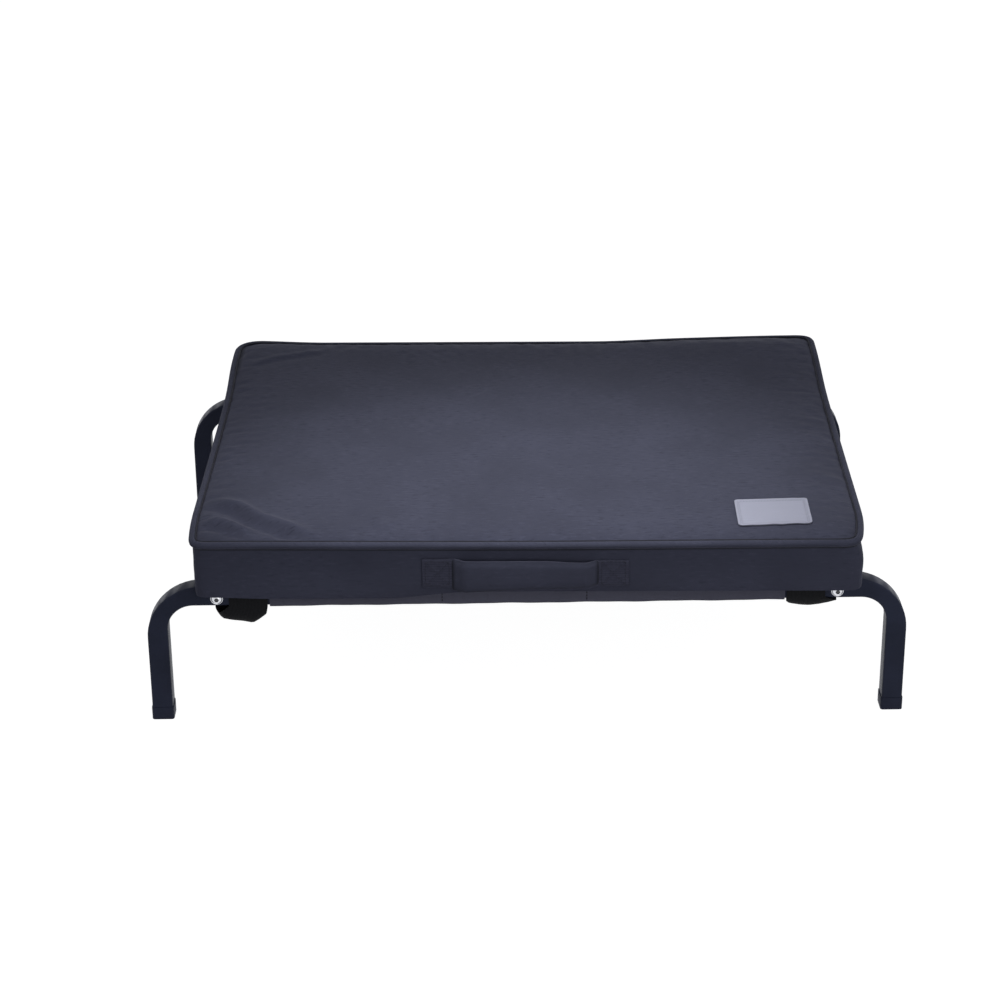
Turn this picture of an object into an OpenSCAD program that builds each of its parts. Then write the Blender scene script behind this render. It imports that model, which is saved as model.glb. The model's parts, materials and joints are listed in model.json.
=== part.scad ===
// Raised dog cot: a bolted square-tube frame, a sleeved sling and a strapped-on box cushion.
// Millimetres, +Z up. The origin is on the floor under the middle of the frame, and -Y is the front.

/* [Frame] */
// Length over the legs
frame_length = 914; // [820:1:1100]
// Depth over the two leg rails
frame_depth = 610; // [500:1:720]
// Height from the floor to the top of the rails
frame_height = 178; // [150:1:240]
// Outside width of the square tube
tube_size = 25; // [22:0.5:30]
// Wall of the square tube
tube_wall = 1.2; // [1:0.1:2]
// Outside corner radius of the square tube
tube_corner = 2.5; // [2.2:0.1:4]
// Radius along the outside of each leg bend
bend_outer = 68; // [55:1:80]
// Radius along the inside of each leg bend, where bending presses the tube flatter
bend_inner = 32; // [25:1:40]
// Distance from each end of the frame to the middle of its cross rail
cross_inset = 86; // [84:1:140]

/* [Feet] */
// Height of a foot cap
foot_height = 16; // [10:0.5:30]
// Wall of a foot cap outside the tube
foot_wall = 0.8; // [0.8:0.1:2]
// Thickness of a foot cap's sole
foot_sole = 3; // [2:0.5:6]
// Clearance between a leg and its foot cap
foot_clearance = 0.1; // [0.05:0.05:0.3]

/* [Bolts] */
// Diameter of the frame bolts
bolt_d = 8; // [6:0.5:10]
// How far the bolts sit below the middle of the rails
bolt_drop = 2.5; // [0:0.5:3]
// Diameter of a bolt's domed head
bolt_head_d = 14; // [12:0.5:16]
// Height of a bolt's domed head
bolt_head_h = 4.4; // [3.5:0.1:6]
// Width across the flats of the socket in a bolt head
socket_flats = 5; // [4:0.5:6]
// Depth of the socket in a bolt head
socket_depth = 2.6; // [2:0.1:3.2]
// Diameter of the washer under a bolt head
washer_d = 15; // [14.5:0.5:20]
// Thickness of the washer under a bolt head
washer_t = 1.2; // [0.8:0.1:2]
// How far a bolt screws into its plug
bolt_engage = 17; // [10:0.5:20]
// Length of the threaded plug in each end of a cross rail
plug_length = 24; // [22:0.5:40]
// Clearance between a plug and the inside of its cross rail
plug_clearance = 0.1; // [0.05:0.05:0.2]
// Clearance round a bolt where it passes through a leg rail
bolt_hole_clearance = 0.5; // [0.2:0.1:1]
// Clearance round a bolt in its threaded plug
thread_clearance = 0.1; // [0.05:0.05:0.2]

/* [Sling] */
// Thickness of the sling fabric
sling_t = 1.2; // [0.8:0.1:2]
// Gap between a rail and the sleeve round it
sleeve_gap = 0.3; // [0.2:0.1:0.8]
// Width of the hem that joins a sleeve to the deck
hem_width = 20; // [12:1:26]

/* [Cushion] */
// How far the cushion stands out past the leg rails at the front and rear
overhang_front = 27; // [20:0.5:45]
// How far the cushion stands out past the cross rails at the ends
overhang_end = 15.5; // [2:0.5:30]
// Height from the underside to the seam at the top edge
cushion_height = 62; // [52:1:100]
// Rise of the top panel from its seam to its flat middle
crown = 9; // [4:0.5:16]
// Width of the rounded border over which the top panel rises
crown_reach = 34; // [25:1:70]
// How far the seams draw in at the middle of a side
side_pull = 1; // [0:0.5:8]
// How far the side band swells between its seams
band_swell = 1; // [0:0.5:8]
// Corner radius of the cushion in plan
cushion_corner = 14; // [14:1:40]
// Thickness of the cover fabric
cover_t = 1.2; // [0.8:0.1:2]
// Diameter of the piping round the top edge
piping_d = 9; // [5:0.5:12]
// Gap between sewn or resting soft pieces
soft_gap = 0.3; // [0.2:0.1:0.6]
// Turn of the loose cushion on the frame, seen from above
cushion_turn = -1.2; // [-2:0.1:2]
// Sideways place of the loose cushion on the frame
cushion_shift = 6; // [-10:0.5:10]

/* [Label] */
// Length of the bare label along the front
label_length = 88; // [40:1:120]
// Depth of the bare label
label_depth = 70; // [30:1:100]
// Thickness of the label
label_t = 0.8; // [0.5:0.1:1.5]
// Distance from the flat middle's front edge to the label
label_margin_front = 1; // [1:0.5:60]
// Distance from the flat middle's right edge to the label
label_margin_end = 27; // [1:0.5:60]

/* [Handle] */
// Width of the handle webbing
handle_width = 38; // [25:0.5:40]
// Thickness of the handle webbing
handle_t = 1.8; // [1.2:0.1:2.5]
// Length of the grip sleeve
grip_length = 150; // [100:1:200]
// Wall of the grip sleeve
grip_wall = 1.4; // [1:0.1:2.5]
// Length of each sewn end of the webbing
anchor_length = 36; // [20:1:60]
// Length over which the webbing leaves the cushion
handle_ramp = 9; // [6:0.5:20]
// How far the webbing stands off the cushion behind the grip
handle_bow = 8.5; // [7:0.5:20]
// How far the handle sits below the middle of the side band
handle_drop = 3.5; // [0:0.5:6]

/* [Straps] */
// Width of a corner strap
strap_width = 46; // [25:0.5:60]
// Thickness of a corner strap
strap_t = 1.6; // [1:0.1:2.5]
// Gap between a strap and the sides of its rail
strap_gap = 1; // [0.5:0.1:2]
// Gap beside a strap, to the sleeve and to the cross rail
strap_side_gap = 2.2; // [1:0.1:6]
// Length of the tabs sewn under the cushion
strap_tab = 11; // [6:0.5:14]
// Slack of the front left strap below its rail
slack_front_left = 18; // [3:0.5:25]
// Slack of the front right strap below its rail
slack_front_right = 7; // [3:0.5:25]
// Slack of the two rear straps below their rail
slack_rear = 9; // [3:0.5:25]

/* [Zip] */
// Distance from each end of the cushion to the zip
zip_margin = 79; // [40:1:150]
// Width of one zip tape beside the teeth
tape_width = 10; // [7:0.5:11]
// Thickness of the zip tapes
tape_t = 0.8; // [0.5:0.1:1]
// Width of the closed teeth
teeth_width = 5; // [4:0.5:7]
// Height of the closed teeth
teeth_height = 2.4; // [2:0.1:3]
// Length of the stop at each end of the teeth
stop_length = 4; // [3:0.5:6]
// Length of the slider
slider_length = 14; // [11:0.5:20]
// Wall of the slider
slider_wall = 1.5; // [1:0.1:2]
// Clearance between the slider and the teeth
slider_clearance = 0.3; // [0.2:0.1:0.4]
// Diameter of the bar that hangs the pull in the slider
pull_bar_d = 1.6; // [1.2:0.1:2]
// Length of the pull from its bar to its tip
pull_length = 30; // [20:1:45]
// Width of the pull
pull_width = 8; // [7:0.5:10]

/* [Hidden] */
$fn = 96;

// Frame places
rail_y = (frame_depth - tube_size) / 2;
rail_z = frame_height - tube_size / 2;
bolt_z = rail_z - bolt_drop;
cross_x = frame_length / 2 - cross_inset;
leg_x = (frame_length - tube_size) / 2;
plug_size = tube_size - 2 * tube_wall - 2 * plug_clearance;
round_steps = 5;
drill_margin = 1;

// Sling places
sleeve_half = tube_size / 2 + sleeve_gap + sling_t;
sleeve_corner = tube_corner + sleeve_gap + sling_t;
deck_x = cross_x - sleeve_half;
deck_y = rail_y - sleeve_half;
deck_top = rail_z + sleeve_half;
corner_free = 18;
long_sleeve_half = cross_x - tube_size / 2 - strap_width - 2 * strap_side_gap;
end_sleeve_half = deck_y - strap_tab - corner_free;

// Cushion places, in the cushion's own turned frame
cushion_x = cross_x + tube_size / 2 + overhang_end;
cushion_y = frame_depth / 2 + overhang_front;
cushion_base = deck_top + soft_gap;
seam_z = cushion_base + cushion_height;
piping_r = piping_d / 2;
band_low = cushion_base + cover_t;
band_high = seam_z - piping_r - soft_gap;
band_mid = (band_low + band_high) / 2;
handle_z = band_mid - handle_drop;
top_flat_z = seam_z + crown;
corner_steps = 4;
side_steps = 8;
piping_sides = 8;
crown_steps = 5;
crown_power = 2.5;

// Zip places
zip_half = cushion_x - zip_margin;
zip_fit = 0.1;
zip_window = 2 * tape_width + teeth_width + 4 * zip_fit;
tape_base = cushion_y - cover_t;
teeth_top = tape_base + teeth_height;
slider_roof = teeth_top + slider_clearance;
slider_top = slider_roof + slider_wall;
slider_half = teeth_width / 2 + slider_clearance + slider_wall;
slider_x = -zip_half + stop_length + slider_length / 2 + 2;
bridge_half_z = 1.2;
bridge_post = 1.6;
bridge_x = slider_length / 2 - 2.6;
bridge_bar = 1.2;
bridge_room = pull_bar_d + 2 * slider_clearance;
pull_y = slider_top + bridge_room / 2;
pull_arm = 1.4;
pull_eye = bridge_x + bridge_post + 1.2;

frame_colour = "#22242f";
cap_colour = "#16171c";
sling_colour = "#3a3a45";
cover_colour = "#4a4c5a";
strap_colour = "#16181b";

// One rounded corner of an outline: its sharp point, the way to its centre, its radius and start angle
function corner_arc(x, y, way_x, way_y, r, start) = r <= 0 ? [[x, y]] : [
  for (i = [0 : round_steps])
    let (a = start + 90 * i / round_steps)
    [x + way_x * r + r * cos(a), y + way_y * r + r * sin(a)]
];

// Rectangle with a radius for each corner, anticlockwise from the low left one
function rounded_box(x0, y0, x1, y1, radii) = concat(
  corner_arc(x0, y0, 1, 1, radii[0], 180),
  corner_arc(x1, y0, -1, 1, radii[1], 270),
  corner_arc(x1, y1, -1, -1, radii[2], 0),
  corner_arc(x0, y1, 1, -1, radii[3], 90)
);

module rounded_rect(w, h, r) {
  polygon(rounded_box(-w / 2, -h / 2, w / 2, h / 2, [r, r, r, r]));
}

// Extrudes an outline drawn in Y and Z along X, centred
module along_x(length) {
  rotate([90, 0, 90])
    translate([0, 0, -length / 2])
      linear_extrude(length) children();
}

// Extrudes an outline drawn in X and Z along Y, centred
module along_y(length) {
  rotate([90, 0, 0])
    translate([0, 0, -length / 2])
      linear_extrude(length) children();
}

// Quarter turn of an outline about the middle of the left bend, from the leg to the rail
module left_bend(centre_x, centre_z) {
  translate([centre_x, 0, centre_z])
    rotate([90, 0, 0])
      rotate([0, 0, 90])
        rotate_extrude(angle = 90) children();
}

module both_ends() {
  children();
  mirror([1, 0, 0]) children();
}

// Everything inside the outer line of the leg, bend and rail, set in by a wall
module outer_sweep(wall, low) {
  half = tube_size / 2 - wall;
  r = tube_corner - wall;
  bend = bend_outer - wall;
  inside = (bend_outer - tube_size) / 2;
  end_x = frame_length / 2 - wall;
  top = frame_height - wall;
  straight = 2 * (frame_length / 2 - bend_outer);
  both_ends() {
    translate([0, 0, low])
      linear_extrude(frame_height - bend_outer - low)
        polygon(rounded_box(-end_x, -half, -end_x + bend - inside, half, [r, 0, 0, r]));
    left_bend(-frame_length / 2 + bend_outer, frame_height - bend_outer)
      polygon(rounded_box(inside, -half, bend, half, [0, r, r, 0]));
  }
  along_x(straight)
    polygon(rounded_box(-half, top - bend + inside, half, top, [0, 0, r, r]));
}

// Everything outside the inner line of the leg, bend and rail, set in by a wall
module inner_sweep(wall, low) {
  half = tube_size / 2 - wall;
  r = tube_corner - wall;
  bend = bend_inner + wall;
  reach = 2 * tube_size;
  face_x = frame_length / 2 - tube_size + wall;
  face_z = frame_height - tube_size + wall;
  turn_x = frame_length / 2 - tube_size - bend_inner;
  turn_z = frame_height - tube_size - bend_inner;
  both_ends() {
    translate([0, 0, low])
      linear_extrude(turn_z - low)
        polygon(rounded_box(-face_x - reach, -half, -face_x, half, [0, r, r, 0]));
    left_bend(-turn_x, turn_z)
      polygon(rounded_box(bend, -half, bend + reach, half, [r, 0, 0, r]));
  }
  along_x(2 * turn_x)
    polygon(rounded_box(-half, face_z, half, face_z + reach, [r, r, 0, 0]));
}

module bent_bar(wall, low) {
  intersection() {
    outer_sweep(wall, low);
    inner_sweep(wall, low);
  }
}

// One tube bent down into two legs and drilled for the cross rail bolts
module leg_rail(y) {
  color(frame_colour)
    translate([0, y, 0])
      difference() {
        bent_bar(0, foot_sole);
        bent_bar(tube_wall, foot_sole - drill_margin);
        for (x = [-cross_x, cross_x])
          translate([x, 0, bolt_z])
            along_y(tube_size + 2 * drill_margin) circle(d = bolt_d + 2 * bolt_hole_clearance);
      }
}

module cross_rail(x) {
  inside = tube_size - 2 * tube_wall;
  color(frame_colour)
    translate([x, 0, rail_z])
      along_y(2 * rail_y - tube_size)
        difference() {
          rounded_rect(tube_size, tube_size, tube_corner);
          rounded_rect(inside, inside, tube_corner - tube_wall);
        }
}

// Slip-on cap on the end of one leg
module foot_cap(side_x, side_y) {
  bore = tube_size + 2 * foot_clearance;
  bore_corner = tube_corner + foot_clearance;
  color(cap_colour)
    translate([side_x * leg_x, side_y * rail_y, 0])
      difference() {
        linear_extrude(foot_height)
          rounded_rect(bore + 2 * foot_wall, bore + 2 * foot_wall, bore_corner + foot_wall);
        translate([0, 0, foot_sole])
          linear_extrude(foot_height)
            rounded_rect(bore, bore, bore_corner);
      }
}

// Places its children at the four bolts, with Z pointing out of the rail's outer face
module at_bolts() {
  for (side_x = [-1, 1])
    for (side_y = [-1, 1])
      translate([side_x * cross_x, side_y * frame_depth / 2, bolt_z])
        rotate([-90 * side_y, 0, 0]) children();
}

module corner_bolts() {
  dome_r = (pow(bolt_head_d / 2, 2) + pow(bolt_head_h, 2)) / (2 * bolt_head_h);
  shank = tube_size + bolt_engage;
  color("silver")
    at_bolts() {
      translate([0, 0, washer_t])
        difference() {
          intersection() {
            translate([0, 0, bolt_head_h - dome_r]) sphere(dome_r);
            cylinder(d = bolt_head_d, h = bolt_head_h);
          }
          translate([0, 0, bolt_head_h - socket_depth])
            cylinder(d = socket_flats / cos(30), h = bolt_head_h, $fn = 6);
        }
      translate([0, 0, -shank]) cylinder(d = bolt_d, h = shank + washer_t);
    }
}

module bolt_washers() {
  color("silver")
    at_bolts()
      difference() {
        cylinder(d = washer_d, h = washer_t);
        translate([0, 0, -drill_margin])
          cylinder(d = bolt_d + 2 * bolt_hole_clearance, h = washer_t + 2 * drill_margin);
      }
}

// Square plugs in the ends of the cross rails, threaded for the bolts
module threaded_plugs() {
  color("silver")
    for (side_x = [-1, 1])
      for (side_y = [-1, 1])
        translate([side_x * cross_x, side_y * (rail_y - tube_size / 2 - plug_length / 2), rail_z])
          along_y(plug_length)
            difference() {
              rounded_rect(plug_size, plug_size, tube_corner - tube_wall);
              translate([0, -bolt_drop]) circle(d = bolt_d + 2 * thread_clearance);
            }
}

// Flat mesh deck with its corners cut away round the straps
module sling_deck() {
  color(sling_colour)
    translate([0, 0, deck_top - sling_t])
      linear_extrude(sling_t)
        union() {
          square([2 * long_sleeve_half, 2 * deck_y], center = true);
          square([2 * deck_x, 2 * end_sleeve_half], center = true);
        }
}

// Section of a sleeve round its tube, with the hem pointing along +X under the deck
module sleeve_section() {
  inside = 2 * (sleeve_half - sling_t);
  difference() {
    rounded_rect(2 * sleeve_half, 2 * sleeve_half, sleeve_corner);
    rounded_rect(inside, inside, sleeve_corner - sling_t);
  }
  translate([sleeve_half - sling_t, sleeve_half - 2 * sling_t])
    square([hem_width + sling_t, sling_t]);
}

module long_sleeve(side) {
  color(sling_colour)
    translate([0, side * rail_y, rail_z])
      along_x(2 * long_sleeve_half)
        mirror([side > 0 ? 1 : 0, 0]) sleeve_section();
}

module end_sleeve(side) {
  color(sling_colour)
    translate([side * cross_x, 0, rail_z])
      along_y(2 * end_sleeve_half)
        mirror([side > 0 ? 1 : 0, 0]) sleeve_section();
}

// Puts its children on the cot the way the loose cushion lies
module on_cot() {
  translate([cushion_shift, 0, 0])
    rotate([0, 0, cushion_turn]) children();
}

function turn_corner(x, y, r, start) = [
  for (i = [0 : corner_steps])
    let (a = start + 90 * i / corner_steps)
    [x + r * cos(a), y + r * sin(a)]
];

// Points between the ends of a side, moved out along its normal most at the middle
function side_run(from, to, normal, move) = [
  for (i = [1 : side_steps - 1])
    let (s = i / side_steps)
    from + (to - from) * s + normal * move * 4 * s * (1 - s)
];

// Outline of the cushion, set in from its walls; the zip side at the rear stays straight
function outline(inset, move) =
  let (
    r = max(cushion_corner - inset, 2),
    x = cushion_x - inset - r,
    y = cushion_y - inset - r
  )
  concat(
    turn_corner(x, -y, r, 270), side_run([x + r, -y], [x + r, y], [1, 0], move),
    turn_corner(x, y, r, 0), side_run([x, y + r], [-x, y + r], [0, 1], 0),
    turn_corner(-x, y, r, 90), side_run([-x - r, y], [-x - r, -y], [-1, 0], move),
    turn_corner(-x, -y, r, 180), side_run([-x, -y - r], [x, -y - r], [0, -1], move)
  );

function ring(inset, move, z) = [for (p = outline(inset, move)) [p[0], p[1], z]];

// Places on the side band at a share of its height, and the outward move there
function band_z(share) = band_low + share * (band_high - band_low);
function band_move(share) = band_swell * sin(180 * share) - side_pull;

// Places on the top panel at a share of its border
function crown_inset(share) = piping_r + soft_gap + share * (crown_reach - piping_r - soft_gap);
function crown_z(share) = seam_z + crown * (1 - pow(1 - share, crown_power));

// Triangles between two rings, split so that each diagonal climbs towards the next point
function quad_faces(a, b, count, falling) = [
  for (i = [0 : count - 1])
    let (j = (i + 1) % count)
    each falling
      ? [[a + i, b + i, a + j], [b + i, b + j, a + j]]
      : [[a + i, b + i, b + j], [a + i, b + j, a + j]]
];

function falls(from, to) = to[0][2] < from[0][2];

function middle(points) = [0, 0, points[0][2]];

// Skin over a row of rings, closed by a fan at each end
module loft(rings) {
  count = len(rings[0]);
  last = len(rings) - 1;
  points = concat([for (r = rings) each r], [middle(rings[0]), middle(rings[last])]);
  low = len(points) - 2;
  walls = [
    for (k = [0 : last - 1])
      each quad_faces(k * count, (k + 1) * count, count, falls(rings[k], rings[k + 1]))
  ];
  floor_fan = [for (i = [0 : count - 1]) [low, i, (i + 1) % count]];
  roof_fan = [for (i = [0 : count - 1]) [low + 1, last * count + (i + 1) % count, last * count + i]];
  polyhedron(points, concat(walls, floor_fan, roof_fan));
}

// Skin over rings that come back to the first one
module hoop(rings) {
  count = len(rings[0]);
  total = len(rings);
  walls = [
    for (k = [0 : total - 1])
      let (next = (k + 1) % total)
      each quad_faces(k * count, next * count, count, falls(rings[k], rings[next]))
  ];
  polyhedron([for (r = rings) each r], walls);
}

// Foam block that fills the cover, with its top edge eased under the piping
module foam_core() {
  inset = cover_t + soft_gap;
  shoulder_z = band_high - piping_r / 2;
  wall_shares = [0.25, 0.5, 0.75];
  walls = [for (s = wall_shares) ring(inset, band_move(s), band_z(s))];
  top = [
    for (i = [0 : crown_steps])
      let (s = i / crown_steps)
      ring(crown_inset(s) + soft_gap, -side_pull, crown_z(s) - cover_t - soft_gap)
  ];
  color("ivory")
    on_cot()
      loft(concat(
        [ring(inset, -side_pull, band_low + soft_gap)],
        walls,
        [ring(inset, -side_pull, shoulder_z)],
        top
      ));
}

module cover_top_panel() {
  shares = [for (i = [0 : crown_steps]) i / crown_steps];
  under = [for (i = [crown_steps : -1 : 0]) ring(crown_inset(shares[i]), -side_pull, crown_z(shares[i]) - cover_t)];
  over = [for (s = shares) ring(crown_inset(s), -side_pull, crown_z(s))];
  color(cover_colour) on_cot() loft(concat(under, over));
}

module cover_bottom_panel() {
  color(cover_colour)
    on_cot()
      loft([ring(0, -side_pull, cushion_base), ring(0, -side_pull, cushion_base + cover_t)]);
}

// Side band round the foam, open behind the zip
module cover_side_band() {
  shares = [0, 0.25, 0.5, 0.75, 1];
  outside = [for (s = shares) ring(0, band_move(s), band_z(s))];
  inside = [for (i = [len(shares) - 1 : -1 : 0]) ring(cover_t, band_move(shares[i]), band_z(shares[i]))];
  color(cover_colour)
    on_cot()
      difference() {
        hoop(concat(outside, inside));
        translate([0, cushion_y, band_mid])
          cube([2 * zip_half, 4 * cover_t, zip_window], center = true);
      }
}

module top_piping() {
  turns = [
    for (i = [0 : piping_sides - 1])
      let (a = 360 * i / piping_sides)
      ring(-piping_r * cos(a), -side_pull, seam_z + piping_r * sin(a))
  ];
  color(cover_colour) on_cot() hoop(turns);
}

module cushion_label() {
  color("slategray")
    on_cot()
      translate([
        cushion_x - crown_reach - label_margin_end - label_length,
        -cushion_y + crown_reach + label_margin_front,
        top_flat_z
      ])
        cube([label_length, label_depth, label_t]);
}

// Webbing sewn down at both ends that stands off the front of the cushion between them
module handle_webbing() {
  face = -cushion_y - soft_gap;
  out = face - handle_bow;
  out_x = grip_length / 2 + handle_t;
  down_x = out_x + handle_ramp;
  end_x = down_x + anchor_length;
  back = [[-end_x, face], [-down_x, face], [-out_x, out], [out_x, out], [down_x, face], [end_x, face]];
  front = [for (i = [len(back) - 1 : -1 : 0]) back[i] - [0, handle_t]];
  color(cover_colour)
    on_cot()
      translate([0, 0, handle_z - handle_width / 2])
        linear_extrude(handle_width) polygon(concat(back, front));
}

// Soft sleeve round the free length of the webbing
module handle_grip() {
  slot_t = handle_t + 2 * soft_gap;
  slot_h = handle_width + 2 * soft_gap;
  color(cover_colour)
    on_cot()
      translate([0, -cushion_y - soft_gap - handle_bow - handle_t / 2, handle_z])
        along_x(grip_length)
          difference() {
            rounded_rect(slot_t + 2 * grip_wall, slot_h + 2 * grip_wall, grip_wall + soft_gap);
            square([slot_t, slot_h], center = true);
          }
}

// Section of a strap loop: the space inside it, grown by a thickness
module loop_space(slack, grow) {
  half = tube_size / 2 + strap_gap + grow;
  low = -tube_size / 2 - slack - grow;
  r = min(slack, tube_size / 2) + grow;
  polygon(rounded_box(-half, low, half, cushion_base - rail_z, [r, r, 0, 0]));
}

// Strap that runs from the cushion down round a leg rail and back up, with a sewn tab at each end
module corner_strap(side_x, side_y, slack) {
  tab_half = tube_size / 2 + strap_gap + strap_t + strap_tab;
  mid_x = (long_sleeve_half + cross_x - tube_size / 2) / 2;
  top = cushion_base - rail_z;
  color(strap_colour)
    translate([side_x * mid_x, side_y * rail_y, rail_z])
      along_x(strap_width)
        difference() {
          union() {
            loop_space(slack, strap_t);
            translate([-tab_half, top - strap_t]) square([2 * tab_half, strap_t]);
          }
          loop_space(slack, 0);
        }
}

module zip_tapes() {
  start = teeth_width / 2 + zip_fit;
  color("#2a2b33")
    on_cot()
      for (way = [-1, 1])
        translate([0, tape_base + tape_t / 2, band_mid + way * (start + tape_width / 2)])
          cube([2 * (zip_half - zip_fit), tape_t, tape_width], center = true);
}

// Closed row of teeth between the two stops
module zip_teeth() {
  edge = teeth_height / 4;
  color("#1d1e24")
    on_cot()
      translate([0, tape_base, band_mid])
        along_x(2 * (zip_half - stop_length - zip_fit))
          polygon(rounded_box(0, -teeth_width / 2, teeth_height, teeth_width / 2, [0, edge, edge, 0]));
}

module zip_stops() {
  color("gray")
    on_cot()
      for (way = [-1, 1])
        translate([way * (zip_half - zip_fit - stop_length / 2), tape_base + teeth_height / 2, band_mid])
          cube([stop_length - 2 * zip_fit, teeth_height, teeth_width], center = true);
}

// Slider that straddles the teeth, with a bridge for the pull
module zip_slider() {
  skirt = cushion_y + soft_gap - cover_t + tape_t;
  color("gray")
    on_cot()
      translate([slider_x, 0, band_mid]) {
        along_x(slider_length)
          difference() {
            translate([skirt, -slider_half]) square([slider_top - skirt, 2 * slider_half]);
            translate([skirt - drill_margin, -slider_half + slider_wall])
              square([slider_roof - skirt + drill_margin, 2 * (slider_half - slider_wall)]);
          }
        for (way = [-1, 1])
          translate([way * (bridge_x + bridge_post / 2), slider_top + bridge_room / 2, 0])
            cube([bridge_post, bridge_room, 2 * bridge_half_z], center = true);
        translate([0, slider_top + bridge_room + bridge_bar / 2, 0])
          cube([2 * (bridge_x + bridge_post), bridge_bar, 2 * bridge_half_z], center = true);
      }
}

// Pull that swings on its bar inside the slider's bridge
module zip_pull() {
  eye_half = bridge_half_z + slider_clearance;
  color("gray")
    on_cot()
      translate([slider_x, pull_y, band_mid]) {
        cylinder(d = pull_bar_d, h = 2 * (eye_half + pull_arm), center = true);
        along_y(pull_bar_d) {
          for (way = [-1, 1])
            translate([0, way * (eye_half + pull_arm / 2) - pull_arm / 2]) square([pull_eye + 1, pull_arm]);
          polygon(rounded_box(pull_eye, -pull_width / 2, pull_length, pull_width / 2, [1, 2, 2, 1]));
        }
      }
}

leg_rail(-rail_y);  // front_leg_rail
leg_rail(rail_y);  // rear_leg_rail
cross_rail(-cross_x);  // left_cross_rail
cross_rail(cross_x);  // right_cross_rail
foot_cap(-1, -1);  // front_left_foot_cap
foot_cap(1, -1);  // front_right_foot_cap
foot_cap(-1, 1);  // rear_left_foot_cap
foot_cap(1, 1);  // rear_right_foot_cap
corner_bolts();
bolt_washers();
threaded_plugs();
sling_deck();
long_sleeve(-1);  // front_sleeve
long_sleeve(1);  // rear_sleeve
end_sleeve(-1);  // left_sleeve
end_sleeve(1);  // right_sleeve
foam_core();
cover_top_panel();
cover_bottom_panel();
cover_side_band();
top_piping();
cushion_label();
handle_webbing();
handle_grip();
corner_strap(-1, -1, slack_front_left);  // front_left_strap
corner_strap(1, -1, slack_front_right);  // front_right_strap
corner_strap(-1, 1, slack_rear);  // rear_left_strap
corner_strap(1, 1, slack_rear);  // rear_right_strap
zip_tapes();
zip_teeth();
zip_stops();
zip_slider();
zip_pull();
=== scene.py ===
import json
import math

import bpy
import numpy as np
from mathutils import Matrix, Vector


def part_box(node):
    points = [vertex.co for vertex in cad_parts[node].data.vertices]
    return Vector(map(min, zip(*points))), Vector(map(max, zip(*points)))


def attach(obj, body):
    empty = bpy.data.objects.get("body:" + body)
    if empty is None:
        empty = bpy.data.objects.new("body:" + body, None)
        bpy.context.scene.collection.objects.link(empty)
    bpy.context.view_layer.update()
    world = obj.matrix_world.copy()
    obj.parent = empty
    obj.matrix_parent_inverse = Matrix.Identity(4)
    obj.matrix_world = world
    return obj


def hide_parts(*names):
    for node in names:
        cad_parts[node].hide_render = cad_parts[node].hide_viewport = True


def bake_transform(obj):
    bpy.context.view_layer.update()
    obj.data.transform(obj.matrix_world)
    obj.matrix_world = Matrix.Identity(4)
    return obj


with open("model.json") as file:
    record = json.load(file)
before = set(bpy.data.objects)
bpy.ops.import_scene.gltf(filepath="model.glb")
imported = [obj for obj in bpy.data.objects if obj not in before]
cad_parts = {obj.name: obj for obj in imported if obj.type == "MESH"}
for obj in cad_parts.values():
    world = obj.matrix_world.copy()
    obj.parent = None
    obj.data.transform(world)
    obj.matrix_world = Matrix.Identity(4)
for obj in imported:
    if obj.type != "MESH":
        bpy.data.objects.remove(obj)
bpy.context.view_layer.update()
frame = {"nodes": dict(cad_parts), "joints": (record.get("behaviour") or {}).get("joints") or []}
print("frame loaded with", len(frame["nodes"]), "nodes")

hair = 1e-5  # m, points closer than this count as one place
tiny = 1e-9  # stands in for a length of nothing in a division

# The loose cushion lies a little turned: its turn is the zip's, its middle is the foam's
zipSlide = next(j for j in frame["joints"] if j["name"] == "zip_slide")
lieTurn = math.atan2(zipSlide["axis"][1], zipSlide["axis"][0])
foamLow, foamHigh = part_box("foam_core")
lieMiddle = (foamLow + foamHigh) / 2
lieOnCot = Matrix.Translation((lieMiddle.x, lieMiddle.y, 0)) @ Matrix.Rotation(lieTurn, 4, "Z")


def cushionBox(node):  # box of a node in the cushion's own turned frame
    back = lieOnCot.inverted()
    spots = np.array([back @ v.co for v in frame["nodes"][node].data.vertices])
    return Vector(spots.min(0)), Vector(spots.max(0))


# Working by hand: selection, modifiers, points

def objectMode():
    bpy.ops.object.mode_set(mode="OBJECT")


def deselectAll():
    if bpy.context.object and bpy.context.object.mode != "OBJECT":
        objectMode()
    bpy.ops.object.select_all(action="DESELECT")


def pick(piece):
    deselectAll()
    piece.select_set(True)
    bpy.context.view_layer.objects.active = piece
    return piece


def rename(piece, name):
    piece.name = name
    piece.data.name = name
    return piece


def settle(piece):  # puts the object's place, turn and scale into its mesh
    pick(piece)
    bpy.ops.object.transform_apply(location=True, rotation=True, scale=True)
    return piece


def layOnCot(piece, along=0.0):
    piece.matrix_world = lieOnCot @ Matrix.Translation((along, 0, 0))
    return settle(piece)


def addStep(piece, kind, **settings):  # a modifier, applied at once
    pick(piece)
    step = piece.modifiers.new(kind.title(), kind)
    for key, value in settings.items():
        setattr(step, key, value)
    bpy.ops.object.modifier_apply(modifier=step.name)
    return piece


smoothAngle = {"hard": 35, "firm": 40, "cloth": 50, "padded": 60, "cord": 80}  # degrees


def smoothFaces(piece, kind="hard"):
    pick(piece)
    bpy.ops.object.shade_smooth_by_angle(angle=math.radians(smoothAngle[kind]))
    return piece


def editAll(piece):  # edit mode with everything selected
    pick(piece)
    bpy.ops.object.mode_set(mode="EDIT")
    bpy.ops.mesh.select_all(action="SELECT")


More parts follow.
